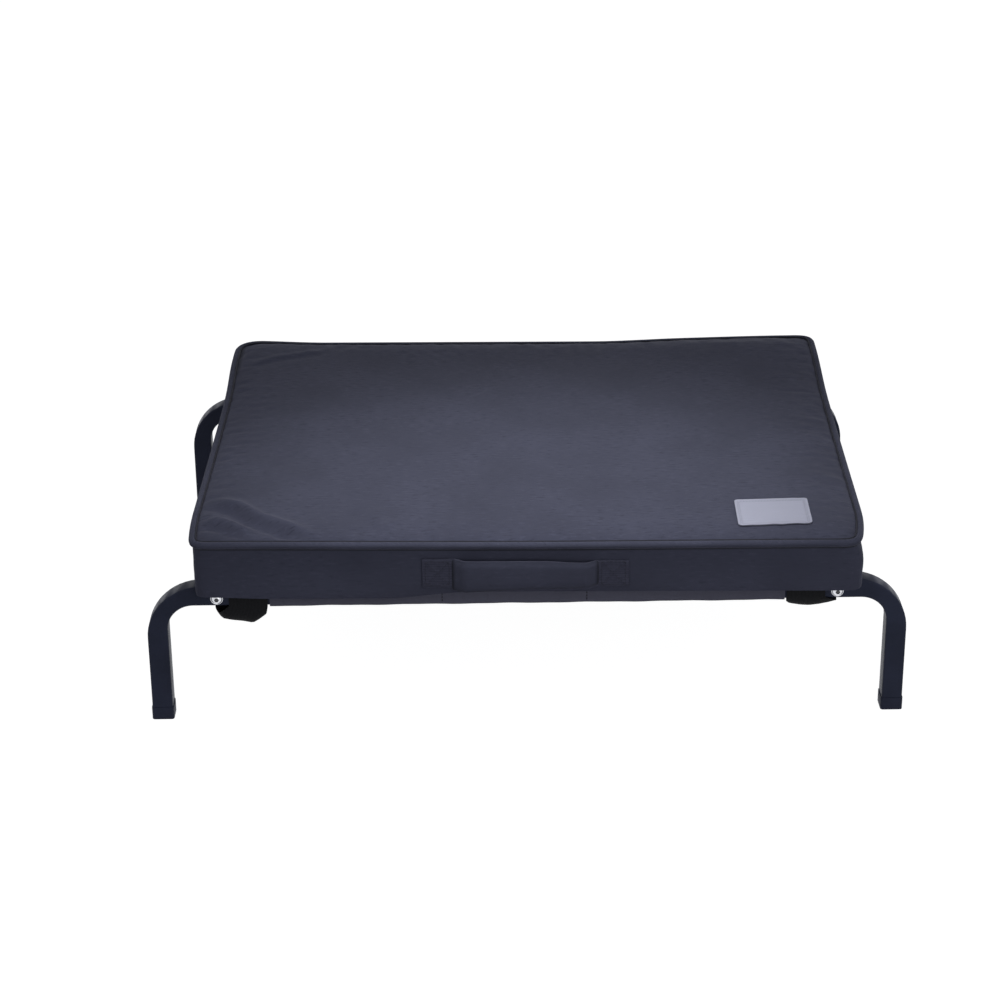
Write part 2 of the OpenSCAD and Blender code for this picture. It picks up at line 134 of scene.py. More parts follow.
def startSelecting(piece, kind):  # nothing selected, ready for edges or faces to be selected in code
    pick(piece)
    bpy.ops.object.mode_set(mode="EDIT")
    bpy.ops.mesh.select_mode(type=kind)
    bpy.ops.mesh.select_all(action="DESELECT")
    objectMode()


def selectEdges(piece, test):  # leaves edit mode on, with the edges that pass the test selected
    startSelecting(piece, "EDGE")
    spots = piece.data.vertices
    for edge in piece.data.edges:
        a, b = edge.vertices
        edge.select = bool(test(spots[a], spots[b]))
    bpy.ops.object.mode_set(mode="EDIT")


def deleteFaces(piece, test):
    startSelecting(piece, "FACE")
    for face in piece.data.polygons:
        face.select = bool(test(face))
    bpy.ops.object.mode_set(mode="EDIT")
    bpy.ops.mesh.delete(type="FACE")
    objectMode()


def readPoints(piece):
    spots = np.empty(len(piece.data.vertices) * 3)
    piece.data.vertices.foreach_get("co", spots)
    return spots.reshape(-1, 3)


def writePoints(piece, spots):
    piece.data.vertices.foreach_set("co", np.ascontiguousarray(spots, dtype=np.float32).ravel())
    piece.data.update()


def addValues(piece, name, values):  # a number at each point, for the finish to read
    layer = piece.data.attributes.new(name, "FLOAT", "POINT")
    layer.data.foreach_set("value", np.asarray(values, dtype=np.float32))


def groupWeights(piece, name, weights):
    group = piece.vertex_groups.new(name=name)
    for i, weight in enumerate(weights):
        group.add([i], float(weight), "REPLACE")


def readWeights(piece, name):
    index = piece.vertex_groups[name].index
    found = (next((g.weight for g in v.groups if g.group == index), 0.0) for v in piece.data.vertices)
    return np.array(list(found))


def ease(t):  # smooth step from 0 to 1
    t = np.clip(t, 0, 1)
    return t * t * (3 - 2 * t)


def easeFrom(value, start, reach):  # the same from a starting value, over a reach
    return ease((value - start) / reach)


def copyOf(piece, name):
    twin = bpy.data.objects.new(name, piece.data.copy())
    twin.data.name = name
    bpy.context.scene.collection.objects.link(twin)
    return twin


def joinPieces(name, pieces):
    pick(pieces[0])
    for piece in pieces[1:]:
        piece.select_set(True)
    bpy.ops.object.join()
    return rename(bpy.context.active_object, name)


def belong(piece, body, slot, *nodes):  # the body it rides on and the CAD nodes it stands for, which it hides; the slot is not used
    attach(piece, body)
    if nodes:
        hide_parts(*nodes)


# Plain starts: blocks, rows and strips

def newBlock(name, size, place=(0, 0, 0)):
    deselectAll()
    bpy.ops.mesh.primitive_cube_add(size=1, location=place)
    block = rename(bpy.context.active_object, name)
    block.scale = size
    return settle(block)


def gridBlock(name, low, high, cell):  # a block cut into cells, so that it can be shaped
    block = newBlock(name, high - low, (low + high) / 2)
    for axis in range(3):
        cuts = max(round((high - low)[axis] / cell[axis]) - 1, 1)
        selectEdges(block, lambda a, b: abs(a.co[axis] - b.co[axis]) > hair)
        bpy.ops.mesh.subdivide(number_cuts=cuts)
        objectMode()
    return block


def blockRow(size, soft, count, gap, place=(0, 0, 0)):  # a small block with soft edges, repeated along X
    row = newBlock("row", size, place)
    addStep(row, "BEVEL", width=soft, segments=1)
    return addStep(
        row, "ARRAY", count=count, use_relative_offset=False,
        use_constant_offset=True, constant_offset_displace=(gap, 0, 0),
    )


stitchSoft = 0.45  # soft edge of a stitch, as a share of its thinnest side


def stitchRow(start, end, out, look):  # a row of sewn stitches between two points
    length, way = (end - start).length, (end - start).normalized()
    count = max(int(length / look["stitchPitch"]), 2)
    gap = length / count
    row = blockRow(look["stitch"], min(look["stitch"]) * stitchSoft, count, gap)
    across = out.cross(way).normalized()
    turn = Matrix((way, across, way.cross(across))).transposed().to_4x4()
    row.matrix_world = Matrix.Translation(start + way * gap / 2) @ turn
    return settle(row)


def roundedPath(corners, radius, steps=5):  # a line through corners, each turned by an arc of its radius
    path = [Vector(corners[0])]
    for before, corner, after, r in zip(corners, corners[1:], corners[2:], radius):
        corner = Vector(corner)
        inWay, outWay = (corner - Vector(before)).normalized(), (Vector(after) - corner).normalized()
        half = inWay.angle(outWay) / 2
        reach = r * math.tan(half)
        centre = corner + (outWay - inWay).normalized() * (r / math.cos(half))
        start, turnAxis = corner - inWay * reach - centre, inWay.cross(outWay)
        for i in range(steps + 1):
            path.append(centre + Matrix.Rotation(2 * half * i / steps, 3, turnAxis) @ start)
    path.append(Vector(corners[-1]))
    return path


def pathLengths(path):
    return np.concatenate([[0], np.cumsum([(b - a).length for a, b in zip(path, path[1:])])])


def layStrip(name, path, width, across, cell):  # a flat strip of cloth, laid along a path
    lengths = pathLengths(path)
    alongCells, acrossCells = round(lengths[-1] / cell[0]), max(round(width / cell[1]), 2)
    deselectAll()
    bpy.ops.mesh.primitive_grid_add(x_subdivisions=alongCells, y_subdivisions=acrossCells, size=1)
    strip = rename(bpy.context.active_object, name)
    flat = readPoints(strip)
    along, side = (flat[:, 0] + 0.5) * lengths[-1], flat[:, 1] * width
    writeUv(strip, np.stack([along, side], 1))
    spots = np.stack([np.interp(along, lengths, [p[i] for p in path]) for i in range(3)], 1)
    writePoints(strip, spots + side[:, None] * np.array(across))
    return strip


def freshUv(piece):  # an empty map of the weave, and the point at each corner of each face
    mesh = piece.data
    while mesh.uv_layers:
        mesh.uv_layers.remove(mesh.uv_layers[0])
    layer = mesh.uv_layers.new(name="weave")
    corners = np.empty(len(mesh.loops), dtype=np.int32)
    mesh.loops.foreach_get("vertex_index", corners)
    return layer, corners


def writeUv(piece, spots):  # one place on the weave for each point, in metres
    layer, corners = freshUv(piece)
    layer.data.foreach_set("uv", spots[corners].astype(np.float32).ravel())


def boxUv(piece):  # weave laid flat on each face, from above, the front or the end
    layer, corners = freshUv(piece)
    faces = piece.data.polygons
    sizes, normals = np.empty(len(faces), dtype=np.int32), np.empty(len(faces) * 3)
    faces.foreach_get("loop_total", sizes)
    faces.foreach_get("normal", normals)
    facing = np.repeat(np.abs(normals.reshape(-1, 3)).argmax(1), sizes)
    views = np.array([[1, 2], [0, 2], [0, 1]])[facing]
    flat = np.take_along_axis(readPoints(piece)[corners], views, 1)
    layer.data.foreach_set("uv", flat.astype(np.float32).ravel())


# Finishes: tools

def addNode(tree, kind, links=None, **settings):
    made = tree.nodes.new("ShaderNode" + kind)
    for key, value in settings.items():
        setattr(made, key, value)
    for key, value in (links or {}).items():
        if isinstance(value, bpy.types.NodeSocket):
            tree.links.new(value, made.inputs[key])
        else:
            made.inputs[key].default_value = value
    return made


def maths(tree, operation, a, b=0.0):
    return addNode(tree, "Math", {0: a, 1: b}, operation=operation).outputs[0]


def mixColours(tree, share, a, b):
    return addNode(tree, "Mix", {0: share, 6: a, 7: b}, data_type="RGBA").outputs[2]


def cloudy(tree, coords, scale, detail):
    scaled = addNode(tree, "VectorMath", {0: coords, 1: scale}, operation="MULTIPLY").outputs[0]
    return addNode(tree, "TexNoise", {"Vector": scaled, "Scale": 1.0, "Detail": detail}).outputs[0]


def spread(tree, value, low, high, outLow=0.0, outHigh=1.0):  # turns one range of values into another
    links = {0: value, 1: low, 2: high, 3: outLow, 4: outHigh}
    return addNode(tree, "MapRange", links).outputs[0]


def split(tree, vector):
    return addNode(tree, "SeparateXYZ", {0: vector}).outputs


def painted(tree, name):  # numbers that a piece carries at its points
    return addNode(tree, "Attribute", attribute_name=name).outputs["Fac"]


def shadeOf(colour, share=1.0):
    return (*(c * share for c in colour), 1)


def startFinish(name, rough, specular, metallic=0.0, sheen=0.0, sheenRough=0.5):
    finish = bpy.data.materials.new(name)
    finish.use_nodes = True
    shader = finish.node_tree.nodes["Principled BSDF"]
    shader.inputs["Roughness"].default_value = rough
    shader.inputs["Specular IOR Level"].default_value = specular
    shader.inputs["Metallic"].default_value = metallic
    shader.inputs["Sheen Weight"].default_value = sheen
    shader.inputs["Sheen Roughness"].default_value = sheenRough
    return finish, finish.node_tree, shader


def addBump(tree, shader, height, strength, distance):
    bump = addNode(tree, "Bump", {"Height": height, "Strength": strength, "Distance": distance})
    tree.links.new(bump.outputs[0], shader.inputs["Normal"])


def wear(piece, finish):
    piece.data.materials.clear()
    piece.data.materials.append(finish)
    return piece


# Finishes: cloth, paint, metal and webbing
# A range of four gives two values that are read, then what they become

weaveTone = {
    "slubDetail": 2.0, "paleSlub": (0.58, 0.72, 0.0, 1.0), "darkSlub": (0.42, 0.28, 0.0, -0.8),
    "patches": (0.42, 0.62, 0.3, 1.0),  # slubs come and go
    "lying": (0.4, 0.9, 0.45, 1.0),  # and show most on cloth that lies flat
    "cloudScale": (9, 9, 9), "cloudDetail": 3.0, "cloud": (0.3, 0.7, -0.2, 0.2),
    # seam: the share of the colour that is left where shade is painted
    "threads": (0.0, 1.0, -0.18, 0.12), "middle": 0.5, "seam": 0.35, "slubHeight": 0.6,
}
paintTone = {
    "peelScale": (900, 900, 900), "peelDetail": 2.0, "peel": (0.3, 0.7), "peelRough": 0.06,
    "cloudScale": (18, 18, 18), "cloudDetail": 3.0, "cloud": (0.35, 0.65), "dark": 0.85, "light": 1.2,
    "peelDepth": 0.0002,
}
metalTone = {
    "specular": 0.5, "grainDetail": 3.0, "grain": (0.3, 0.7), "dark": 0.86, "socketShade": 0.08,
    "smooth": 0.7, "rough": 1.4, "bump": 0.1, "depth": 0.0001,
}
webbingTone = {
    "zigzag": 1.4, "ribHeight": 0.5, "pickHeight": 0.5, "ribs": (-1.0, 1.0, 0.1, 0.6), "depth": 0.0003,
    "fuzzScale": (120, 400, 1), "fuzzDetail": 3.0, "fuzz": (0.3, 0.7, 0.0, 0.35), "dark": 0.6, "light": 1.35,
}


def plainWeave(tree, coords, pitch):  # each thread passes over and under the next
    places = split(tree, coords)
    turns = [maths(tree, "MULTIPLY", places[i], math.pi / pitch[i]) for i in (0, 1)]
    warp, weft = (maths(tree, "SINE", turn) for turn in turns)
    over = maths(tree, "GREATER_THAN", maths(tree, "MULTIPLY", warp, weft), 0.0)
    warp, weft = maths(tree, "ABSOLUTE", warp), maths(tree, "ABSOLUTE", weft)
    return addNode(tree, "Mix", {0: over, 2: warp, 3: weft}, data_type="FLOAT").outputs[0]


def fabricFinish(name, look, tone=weaveTone):
    finish, tree, shader = startFinish(name, look["rough"], look["specular"], sheen=look["sheen"])
    coords = addNode(tree, "UVMap", uv_map="weave").outputs[0]
    threads = plainWeave(tree, coords, look["pitch"])
    slub = cloudy(tree, coords, look["slubScale"], tone["slubDetail"])
    cloud = cloudy(tree, coords, tone["cloudScale"], tone["cloudDetail"])
    facing = split(tree, addNode(tree, "NewGeometry").outputs["Normal"])
    dashes = maths(tree, "ADD", spread(tree, slub, *tone["paleSlub"]), spread(tree, slub, *tone["darkSlub"]))
    dashes = maths(tree, "MULTIPLY", dashes, spread(tree, cloud, *tone["patches"]))
    dashes = maths(tree, "MULTIPLY", dashes, spread(tree, facing[2], *tone["lying"]))
    streaks = maths(tree, "ADD", dashes, spread(tree, cloud, *tone["cloud"]))
    streaks = maths(tree, "ADD", maths(tree, "MULTIPLY", streaks, look["streak"]), tone["middle"])
    # painted shade: the low places between the threads are coloured darker
    streaks = maths(tree, "ADD", streaks, spread(tree, threads, *tone["threads"]))
    # painted shade: where a piece's points carry painted-shade values, the cloth turns towards a deep shade
    # of its colour
    dark, light, deep = (shadeOf(look["colour"], k) for k in (look["dark"], look["light"], tone["seam"]))
    colour = mixColours(tree, painted(tree, "paintedShade"), mixColours(tree, streaks, dark, light), deep)
    tree.links.new(colour, shader.inputs["Base Color"])
    height = maths(tree, "ADD", threads, maths(tree, "MULTIPLY", slub, tone["slubHeight"]))
    addBump(tree, shader, height, look["bump"], look["depth"])
    return finish


def paintFinish(name, look, tone=paintTone):
    finish, tree, shader = startFinish(name, look["rough"], look["specular"])
    coords = addNode(tree, "TexCoord").outputs["Object"]
    peel = cloudy(tree, coords, tone["peelScale"], tone["peelDetail"])
    cloud = cloudy(tree, coords, tone["cloudScale"], tone["cloudDetail"])
    dark, light = (shadeOf(look["colour"], tone[key]) for key in ("dark", "light"))
    colour = mixColours(tree, spread(tree, cloud, *tone["cloud"]), dark, light)
    smooth, rough = look["rough"] - tone["peelRough"], look["rough"] + tone["peelRough"]
    tree.links.new(colour, shader.inputs["Base Color"])
    tree.links.new(spread(tree, peel, *tone["peel"], smooth, rough), shader.inputs["Roughness"])
    addBump(tree, shader, peel, look["bump"], tone["peelDepth"])
    return finish


def metalFinish(name, look, tone=metalTone):
    finish, tree, shader = startFinish(name, look["rough"], tone["specular"], metallic=1.0)
    coords = addNode(tree, "TexCoord").outputs["Object"]
    grain = cloudy(tree, coords, look["grain"], tone["grainDetail"])
    dark, deep = (shadeOf(look["colour"], tone[key]) for key in ("dark", "socketShade"))
    colour = mixColours(tree, spread(tree, grain, *tone["grain"]), dark, shadeOf(look["colour"]))
    # painted shade: socket floors marked at the points turn dark
    colour = mixColours(tree, painted(tree, "socketShade"), colour, deep)
    smooth, rough = look["rough"] * tone["smooth"], look["rough"] * tone["rough"]
    tree.links.new(colour, shader.inputs["Base Color"])
    tree.links.new(spread(tree, grain, *tone["grain"], smooth, rough), shader.inputs["Roughness"])
    addBump(tree, shader, grain, tone["bump"], tone["depth"])
    return finish


def webbingFinish(name, look, tone=webbingTone):  # narrow ribs along the strap, crossed by fine picks
    finish, tree, shader = startFinish(name, look["rough"], look["specular"], sheen=look["sheen"])
    coords = addNode(tree, "UVMap", uv_map="weave").outputs[0]
    places = split(tree, coords)
    rib = maths(tree, "SINE", maths(tree, "MULTIPLY", places[1], 2 * math.pi / look["rib"]))
    picks = maths(tree, "MULTIPLY", places[0], 2 * math.pi / look["pickPitch"])
    chevron = maths(tree, "SINE", maths(tree, "ADD", picks, maths(tree, "MULTIPLY", rib, tone["zigzag"])))
    ribs = maths(tree, "MULTIPLY", rib, tone["ribHeight"])
    height = maths(tree, "ADD", ribs, maths(tree, "MULTIPLY", chevron, tone["pickHeight"]))
    fuzz = cloudy(tree, coords, tone["fuzzScale"], tone["fuzzDetail"])
    # painted shade: the low places between the ribs and picks are coloured darker
    shade = maths(tree, "ADD", spread(tree, height, *tone["ribs"]), spread(tree, fuzz, *tone["fuzz"]))
    dark, light = (shadeOf(look["colour"], tone[key]) for key in ("dark", "light"))
    tree.links.new(mixColours(tree, shade, dark, light), shader.inputs["Base Color"])
    addBump(tree, shader, height, look["bump"], tone["depth"])
    return finish


finishes = {
    "cover": fabricFinish("coverFabric", {
        "colour": (0.074, 0.078, 0.117), "dark": 0.82, "light": 1.18, "pitch": (0.0011, 0.0011),
        "slubScale": (85, 300, 1), "streak": 1.5, "bump": 0.25, "depth": 0.0004,
        "rough": 0.88, "specular": 0.12, "sheen": 0.08,
    }),
    "sleeve": fabricFinish("sleeveFabric", {
        "colour": (0.154, 0.155, 0.207), "dark": 0.8, "light": 1.2, "pitch": (0.0016, 0.0016),
        "slubScale": (60, 200, 1), "streak": 0.4, "bump": 0.5, "depth": 0.0006,
        "rough": 0.85, "specular": 0.12, "sheen": 0.05,
    }),
    "sling": fabricFinish("slingMesh", {
        "colour": (0.060, 0.061, 0.074), "dark": 0.55, "light": 1.35, "pitch": (0.0018, 0.0018),
        "slubScale": (30, 120, 1), "streak": 0.3, "bump": 0.6, "depth": 0.0008,
        "rough": 0.8, "specular": 0.15, "sheen": 0.0,
    }),
    "label": fabricFinish("labelSatin", {
        "colour": (0.505, 0.518, 0.635), "dark": 0.86, "light": 1.12, "pitch": (0.0005, 0.0008),
        "slubScale": (30, 700, 1), "streak": 0.5, "bump": 0.2, "depth": 0.0002,
        "rough": 0.6, "specular": 0.25, "sheen": 0.15,
    }),
    "tape": fabricFinish("zipTape", {
        "colour": (0.030, 0.031, 0.040), "dark": 0.7, "light": 1.3, "pitch": (0.0007, 0.0010),
        "slubScale": (60, 300, 1), "streak": 0.3, "bump": 0.3, "depth": 0.0003,
        "rough": 0.85, "specular": 0.12, "sheen": 0.0,
    }),
    "strap": webbingFinish("strapWebbing", {
        "colour": (0.0105, 0.011, 0.013), "rib": 0.0042, "pickPitch": 0.0017, "bump": 0.5,
        "rough": 0.8, "specular": 0.15, "sheen": 0.05,
    }),
    "handle": webbingFinish("handleWebbing", {
        "colour": (0.068, 0.070, 0.105), "rib": 0.0032, "pickPitch": 0.0014, "bump": 0.25,
        "rough": 0.85, "specular": 0.12, "sheen": 0.05,
    }),
    "thread": paintFinish("sewingThread", {
        "colour": (0.030, 0.031, 0.042), "rough": 0.75, "specular": 0.15, "bump": 0.3,
    }),
    "handleThread": paintFinish("handleThread", {
        "colour": (0.045, 0.046, 0.066), "rough": 0.75, "specular": 0.15, "bump": 0.3,
    }),
    "paleThread": paintFinish("labelThread", {
        "colour": (0.54, 0.55, 0.66), "rough": 0.7, "specular": 0.2, "bump": 0.3,
    }),
    "paint": paintFinish("framePaint", {
        "colour": (0.034, 0.040, 0.069), "rough": 0.42, "specular": 0.09, "bump": 0.12,
    }),
    "cap": paintFinish("capPlastic", {
        "colour": (0.030, 0.035, 0.060), "rough": 0.58, "specular": 0.12, "bump": 0.3,
    }),
    "bolt": metalFinish("boltSteel", {
        "colour": (0.70, 0.71, 0.75), "rough": 0.2, "grain": (300, 300, 300),
    }),
    "zip": metalFinish("zipMetal", {
        "colour": (0.30, 0.31, 0.33), "rough": 0.3, "grain": (600, 600, 600),
    }),
    "teeth": paintFinish("zipTeeth", {
        "colour": (0.016, 0.017, 0.022), "rough": 0.45, "specular": 0.3, "bump": 0.1,
    }),
}
print("finishes made:", len(finishes))


def thicken(strip, thick, kind, finish, bevel=0.0):  # a strip gets its thickness, soft edges and finish
    addStep(strip, "SOLIDIFY", thickness=thick, offset=0)
    if bevel:
        addStep(strip, "BEVEL", width=bevel, segments=2, limit_method="ANGLE")
    return wear(smoothFaces(strip, kind), finishes[finish])


# Camera, light and floor

cameraView = {
    "lens": 91.65, "sensor": 36,  # mm
    "place": (-0.0614, -3.0314, 1.5179),
    "pitch": 24.2906, "yaw": 0.6202, "roll": -0.4698,  # degrees
}
studio = {
    "skyGlow": 0.21, "skyTint": (0.96, 0.98, 1.09),
    "keyPlace": (0.008, -0.45, 1.65), "keyAim": (0.008, -0.200, 0.25), "keyPower": 48.5,
    "keyAngle": 35.2, "keyBlend": 0.97, "keySize": 0.08, "keyWide": 1.19,
    "fillPlace": (0.9, -2.5, 0.9), "fillSize": 1.6, "fillPower": 9.6,
    "rearPlace": (0.6, 2.6, 0.18), "rearSize": 0.5, "rearPower": 5.5,
    "floorSize": 30.0, "floorColour": (0.36, 0.36, 0.36), "floorWhite": 0.965,
}


def makeCamera(look):
    deselectAll()
    bpy.ops.object.camera_add(location=look["place"])
    camera = rename(bpy.context.active_object, "photoCamera")
    pitch, yaw, roll = (math.radians(look[key]) for key in ("pitch", "yaw", "roll"))
    turn = Matrix.Rotation(-yaw, 4, "Z") @ Matrix.Rotation(math.pi / 2 - pitch, 4, "X")
    camera.rotation_euler = (turn @ Matrix.Rotation(roll, 4, "Z")).to_euler()
    camera.data.lens = look["lens"]
    camera.data.sensor_width = look["sensor"]
    bpy.context.scene.camera = camera


def seenRays(tree):  # rays that should meet plain white
    path = addNode(tree, "LightPath")
    straight = maths(tree, "MAXIMUM", path.outputs["Is Camera Ray"], path.outputs["Is Glossy Ray"])
    return maths(tree, "MAXIMUM", straight, path.outputs["Is Transmission Ray"])


def makeSky(look):
    world = bpy.data.worlds.new("studioSky")
    world.use_nodes = True
    bpy.context.scene.world = world
    tree = world.node_tree
    seen = seenRays(tree)
    tint = mixColours(tree, seen, shadeOf(look["skyTint"]), (1, 1, 1, 1))
    glow = spread(tree, seen, 0.0, 1.0, look["skyGlow"], 1.0)
    tree.links.new(tint, tree.nodes["Background"].inputs["Color"])
    tree.links.new(glow, tree.nodes["Background"].inputs["Strength"])


def makeLamps(look):
    for name, kind in (("key", "SPOT"), ("fill", "AREA"), ("rear", "AREA")):
        deselectAll()
        bpy.ops.object.light_add(type=kind, location=look[name + "Place"])
        lamp = rename(bpy.context.active_object, name + "Light")
        lamp.data.energy = look[name + "Power"]
        aim = Vector(look["keyAim"]) - lamp.location
        lamp.rotation_euler = aim.to_track_quat("-Z", "Y").to_euler()
        if kind == "SPOT":
            lamp.data.spot_size = math.radians(look["keyAngle"])
            lamp.data.spot_blend = look["keyBlend"]
            lamp.data.shadow_soft_size = look["keySize"]
            lamp.scale.x = look["keyWide"]
        else:
            lamp.data.size = look[name + "Size"]


def makeFloor(look):
    deselectAll()
    bpy.ops.mesh.primitive_plane_add(size=look["floorSize"])
    floor = rename(bpy.context.active_object, "studioFloor")
    finish = bpy.data.materials.new("paleFloor")
    finish.use_nodes = True
    tree = finish.node_tree
    tree.nodes.remove(tree.nodes["Principled BSDF"])
    matte = addNode(tree, "BsdfDiffuse", {"Color": shadeOf(look["floorColour"])})
    white = spread(tree, seenRays(tree), 0.0, 1.0, 0.0, look["floorWhite"])
    lit = addNode(tree, "Emission", {"Strength": white})
    both = addNode(tree, "AddShader", {0: matte.outputs[0], 1: lit.outputs[0]})
    tree.links.new(both.outputs[0], tree.nodes["Material Output"].inputs["Surface"])
    wear(floor, finish)


bpy.context.scene.view_settings.view_transform = "Standard"
makeCamera(cameraView)
makeSky(studio)
makeLamps(studio)
makeFloor(studio)
print("camera and studio set")


# Frame: powder-coated tubes, caps and bolts

softEdge = {"flat": 2, "sharp": 40, "segments": 3}  # degrees between faces that are merged or softened
frameLook = {"capBevel": 0.0008, "boltBevel": 0.0003}
boltLook = {"socketRadius": 0.0031, "rimDeep": 0.0012, "floorDeep": 0.0035}


def smoothCopy(node, name, body, finish, slot, bevel=0.0):  # the CAD shape, welded, softened and smoothed
    piece = copyOf(frame["nodes"][node], name)
    editAll(piece)
    bpy.ops.mesh.remove_doubles(threshold=hair)
    if bevel:
        bpy.ops.mesh.dissolve_limited(angle_limit=math.radians(softEdge["flat"]))
    objectMode()
    if bevel:
        sharp = math.radians(softEdge["sharp"])
        addStep(
            piece, "BEVEL", width=bevel, segments=softEdge["segments"],
            limit_method="ANGLE", angle_limit=sharp,
        )
    smoothFaces(piece)
    wear(piece, finish)
    belong(piece, body, slot, node)
    return piece


def shadeSockets(bolts, look):  # painted shade: the floors of the sockets are coloured dark
    spots = readPoints(bolts)
    socketShade = np.zeros(len(spots))
    for sideX in (-1, 1):
        for sideY in (-1, 1):
            mine = (spots[:, 0] * sideX > 0) & (spots[:, 1] * sideY > 0)
            middle = (spots[mine].min(0) + spots[mine].max(0)) / 2
            off = np.hypot(spots[:, 0] - middle[0], spots[:, 2] - middle[2])
            deep = np.abs(spots[mine][:, 1]).max() - np.abs(spots[:, 1])
            inSocket = (off < look["socketRadius"]) & (deep > look["rimDeep"]) & (deep < look["floorDeep"])
            socketShade[mine & inSocket] = 1
    addValues(bolts, "socketShade", socketShade)


def dressFrame(look):
    for rail in ("front_leg_rail", "rear_leg_rail", "left_cross_rail", "right_cross_rail"):
        smoothCopy(rail, rail + "Tube", "frame", finishes["paint"], "frame_paint")
    for y in ("front", "rear"):
        for x in ("left", "right"):
            cap = f"{y}_{x}_foot_cap"
            smoothCopy(cap, cap + "Moulded", "frame", finishes["cap"], "foot_plastic", look["capBevel"])
    steel = {}
    for node in ("bolt_washers", "corner_bolts"):
        name = node + "Polished"
        steel[node] = smoothCopy(node, name, "frame", finishes["bolt"], "bolt_steel", look["boltBevel"])
    shadeSockets(steel["corner_bolts"], boltLook)
    wear(frame["nodes"]["threaded_plugs"], finishes["bolt"])


dressFrame(frameLook)
print("frame dressed")


# Sling: a stretched deck with a sleeve round each rail

slingLook = {
    "cell": 0.008, "thick": 0.0012, "deckSag": 0.0012, "hem": 0.020,
    "sleeveCell": (0.003, 0.010), "sleeveCorner": 0.0035, "hemCorner": 0.0015, "sleeveSlack": 0.0006,
    "ripple": ((61, 0.0, 0.5), (143, 1.3, 0.3)), "rippleMean": 0.6,  # radians per metre, start, share
    "stitch": (0.0030, 0.0010, 0.0006), "stitchPitch": 0.0036,
    "seamPlaces": (-0.102, 0.071), "seamProud": 0.0002,
}


def makeDeck(look):  # one flat cut with its corners left out round the straps
    low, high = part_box("sling_deck")
    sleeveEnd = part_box("front_sleeve")[1].x
    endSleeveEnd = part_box("left_sleeve")[1].y
    middle = (low.z + high.z) / 2
    path = [Vector((low.x, 0, middle)), Vector((high.x, 0, middle))]
    deck = layStrip("slingDeck", path, high.y - low.y, (0, 1, 0), (look["cell"], look["cell"]))
    deleteFaces(deck, lambda face: abs(face.center.x) > sleeveEnd and abs(face.center.y) > endSleeveEnd)
    spots = readPoints(deck)
    sag = (1 - (spots[:, 0] / high.x) ** 2) * (1 - (spots[:, 1] / high.y) ** 2)
    spots[:, 2] -= look["deckSag"] * np.clip(sag, 0, 1)
    writePoints(deck, spots)
    thicken(deck, high.z - low.z, "firm", "sling")
    belong(deck, "frame", "sling_mesh", "sling_deck")


def makeSleeve(side, look):  # one strip of cloth round a rail, sewn under the deck
    low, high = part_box(side + "_sleeve")
    size = high - low
    run, out = (0, 1) if size.x > size.y else (1, 0)  # axes along the rail and away from it
    inside = -1 if (low + high)[out] > 0 else 1
    thick, r = look["thick"], look["sleeveCorner"]
    half = (size.z - thick) / 2
    middle = (low.z + high.z) / 2
    outer = (low if inside > 0 else high)[out]
    axis = outer + inside * size.z / 2
    reach, under = half + look["hem"], half - thick
    loop = [(reach, under), (half, under), (half, -half), (-half, -half), (-half, half), (reach, half)]
    corners = []
    for off, z in loop:
        corner = Vector((0, 0, middle + z))
        corner[out] = axis + inside * off
        corners.append(corner)
    path = roundedPath(corners, [look["hemCorner"], r, r, r])
    strip = layStrip(side + "SleeveCloth", path, size[run], np.eye(3)[run], look["sleeveCell"])
    spots = readPoints(strip)
    ripple = sum(np.sin(spots[:, run] * turns + start) * share for turns, start, share in look["ripple"])
    slack = look["sleeveSlack"] * (look["rippleMean"] + ripple)
    spots[:, 2] -= np.where(spots[:, 2] < middle, slack, 0)
    writePoints(strip, spots)
    thicken(strip, thick, "cloth", "sleeve")
    belong(strip, "frame", "sleeve_fabric", side + "_sleeve")
    seams = []
    if side == "front":  # two upright seams show on the front
        rows = []
        front, tall = outer - look["seamProud"], half - r
        for x in look["seamPlaces"]:
            start, end = Vector((x, front, middle - tall)), Vector((x, front, middle + tall))
            rows.append(stitchRow(start, end, Vector((0, -1, 0)), look))
        seams = [wear(joinPieces("sleeveSeams", rows), finishes["thread"])]
        belong(seams[0], "frame", "sleeve_fabric")


makeDeck(slingLook)
for side in ("front", "rear"):
    makeSleeve(side, slingLook)
for side in ("left", "right"):
    makeSleeve(side, slingLook)
print("sling made")


# Cushion: a loose sewn cover over a foam block

bandHigh = cushionBox("cover_side_band")[1]
pipeLow, pipeHigh = cushionBox("top_piping")
zipLow, zipHigh = cushionBox("zip_tapes")
cushionSize = {
    "halfX": bandHigh.x, "halfY": bandHigh.y,
    "base": cushionBox("cover_bottom_panel")[0].z,
    "seam": (pipeLow.z + pipeHigh.z) / 2,
    "pipe": (pipeHigh.z - pipeLow.z) / 2,
    "top": cushionBox("cover_top_panel")[1].z,
}
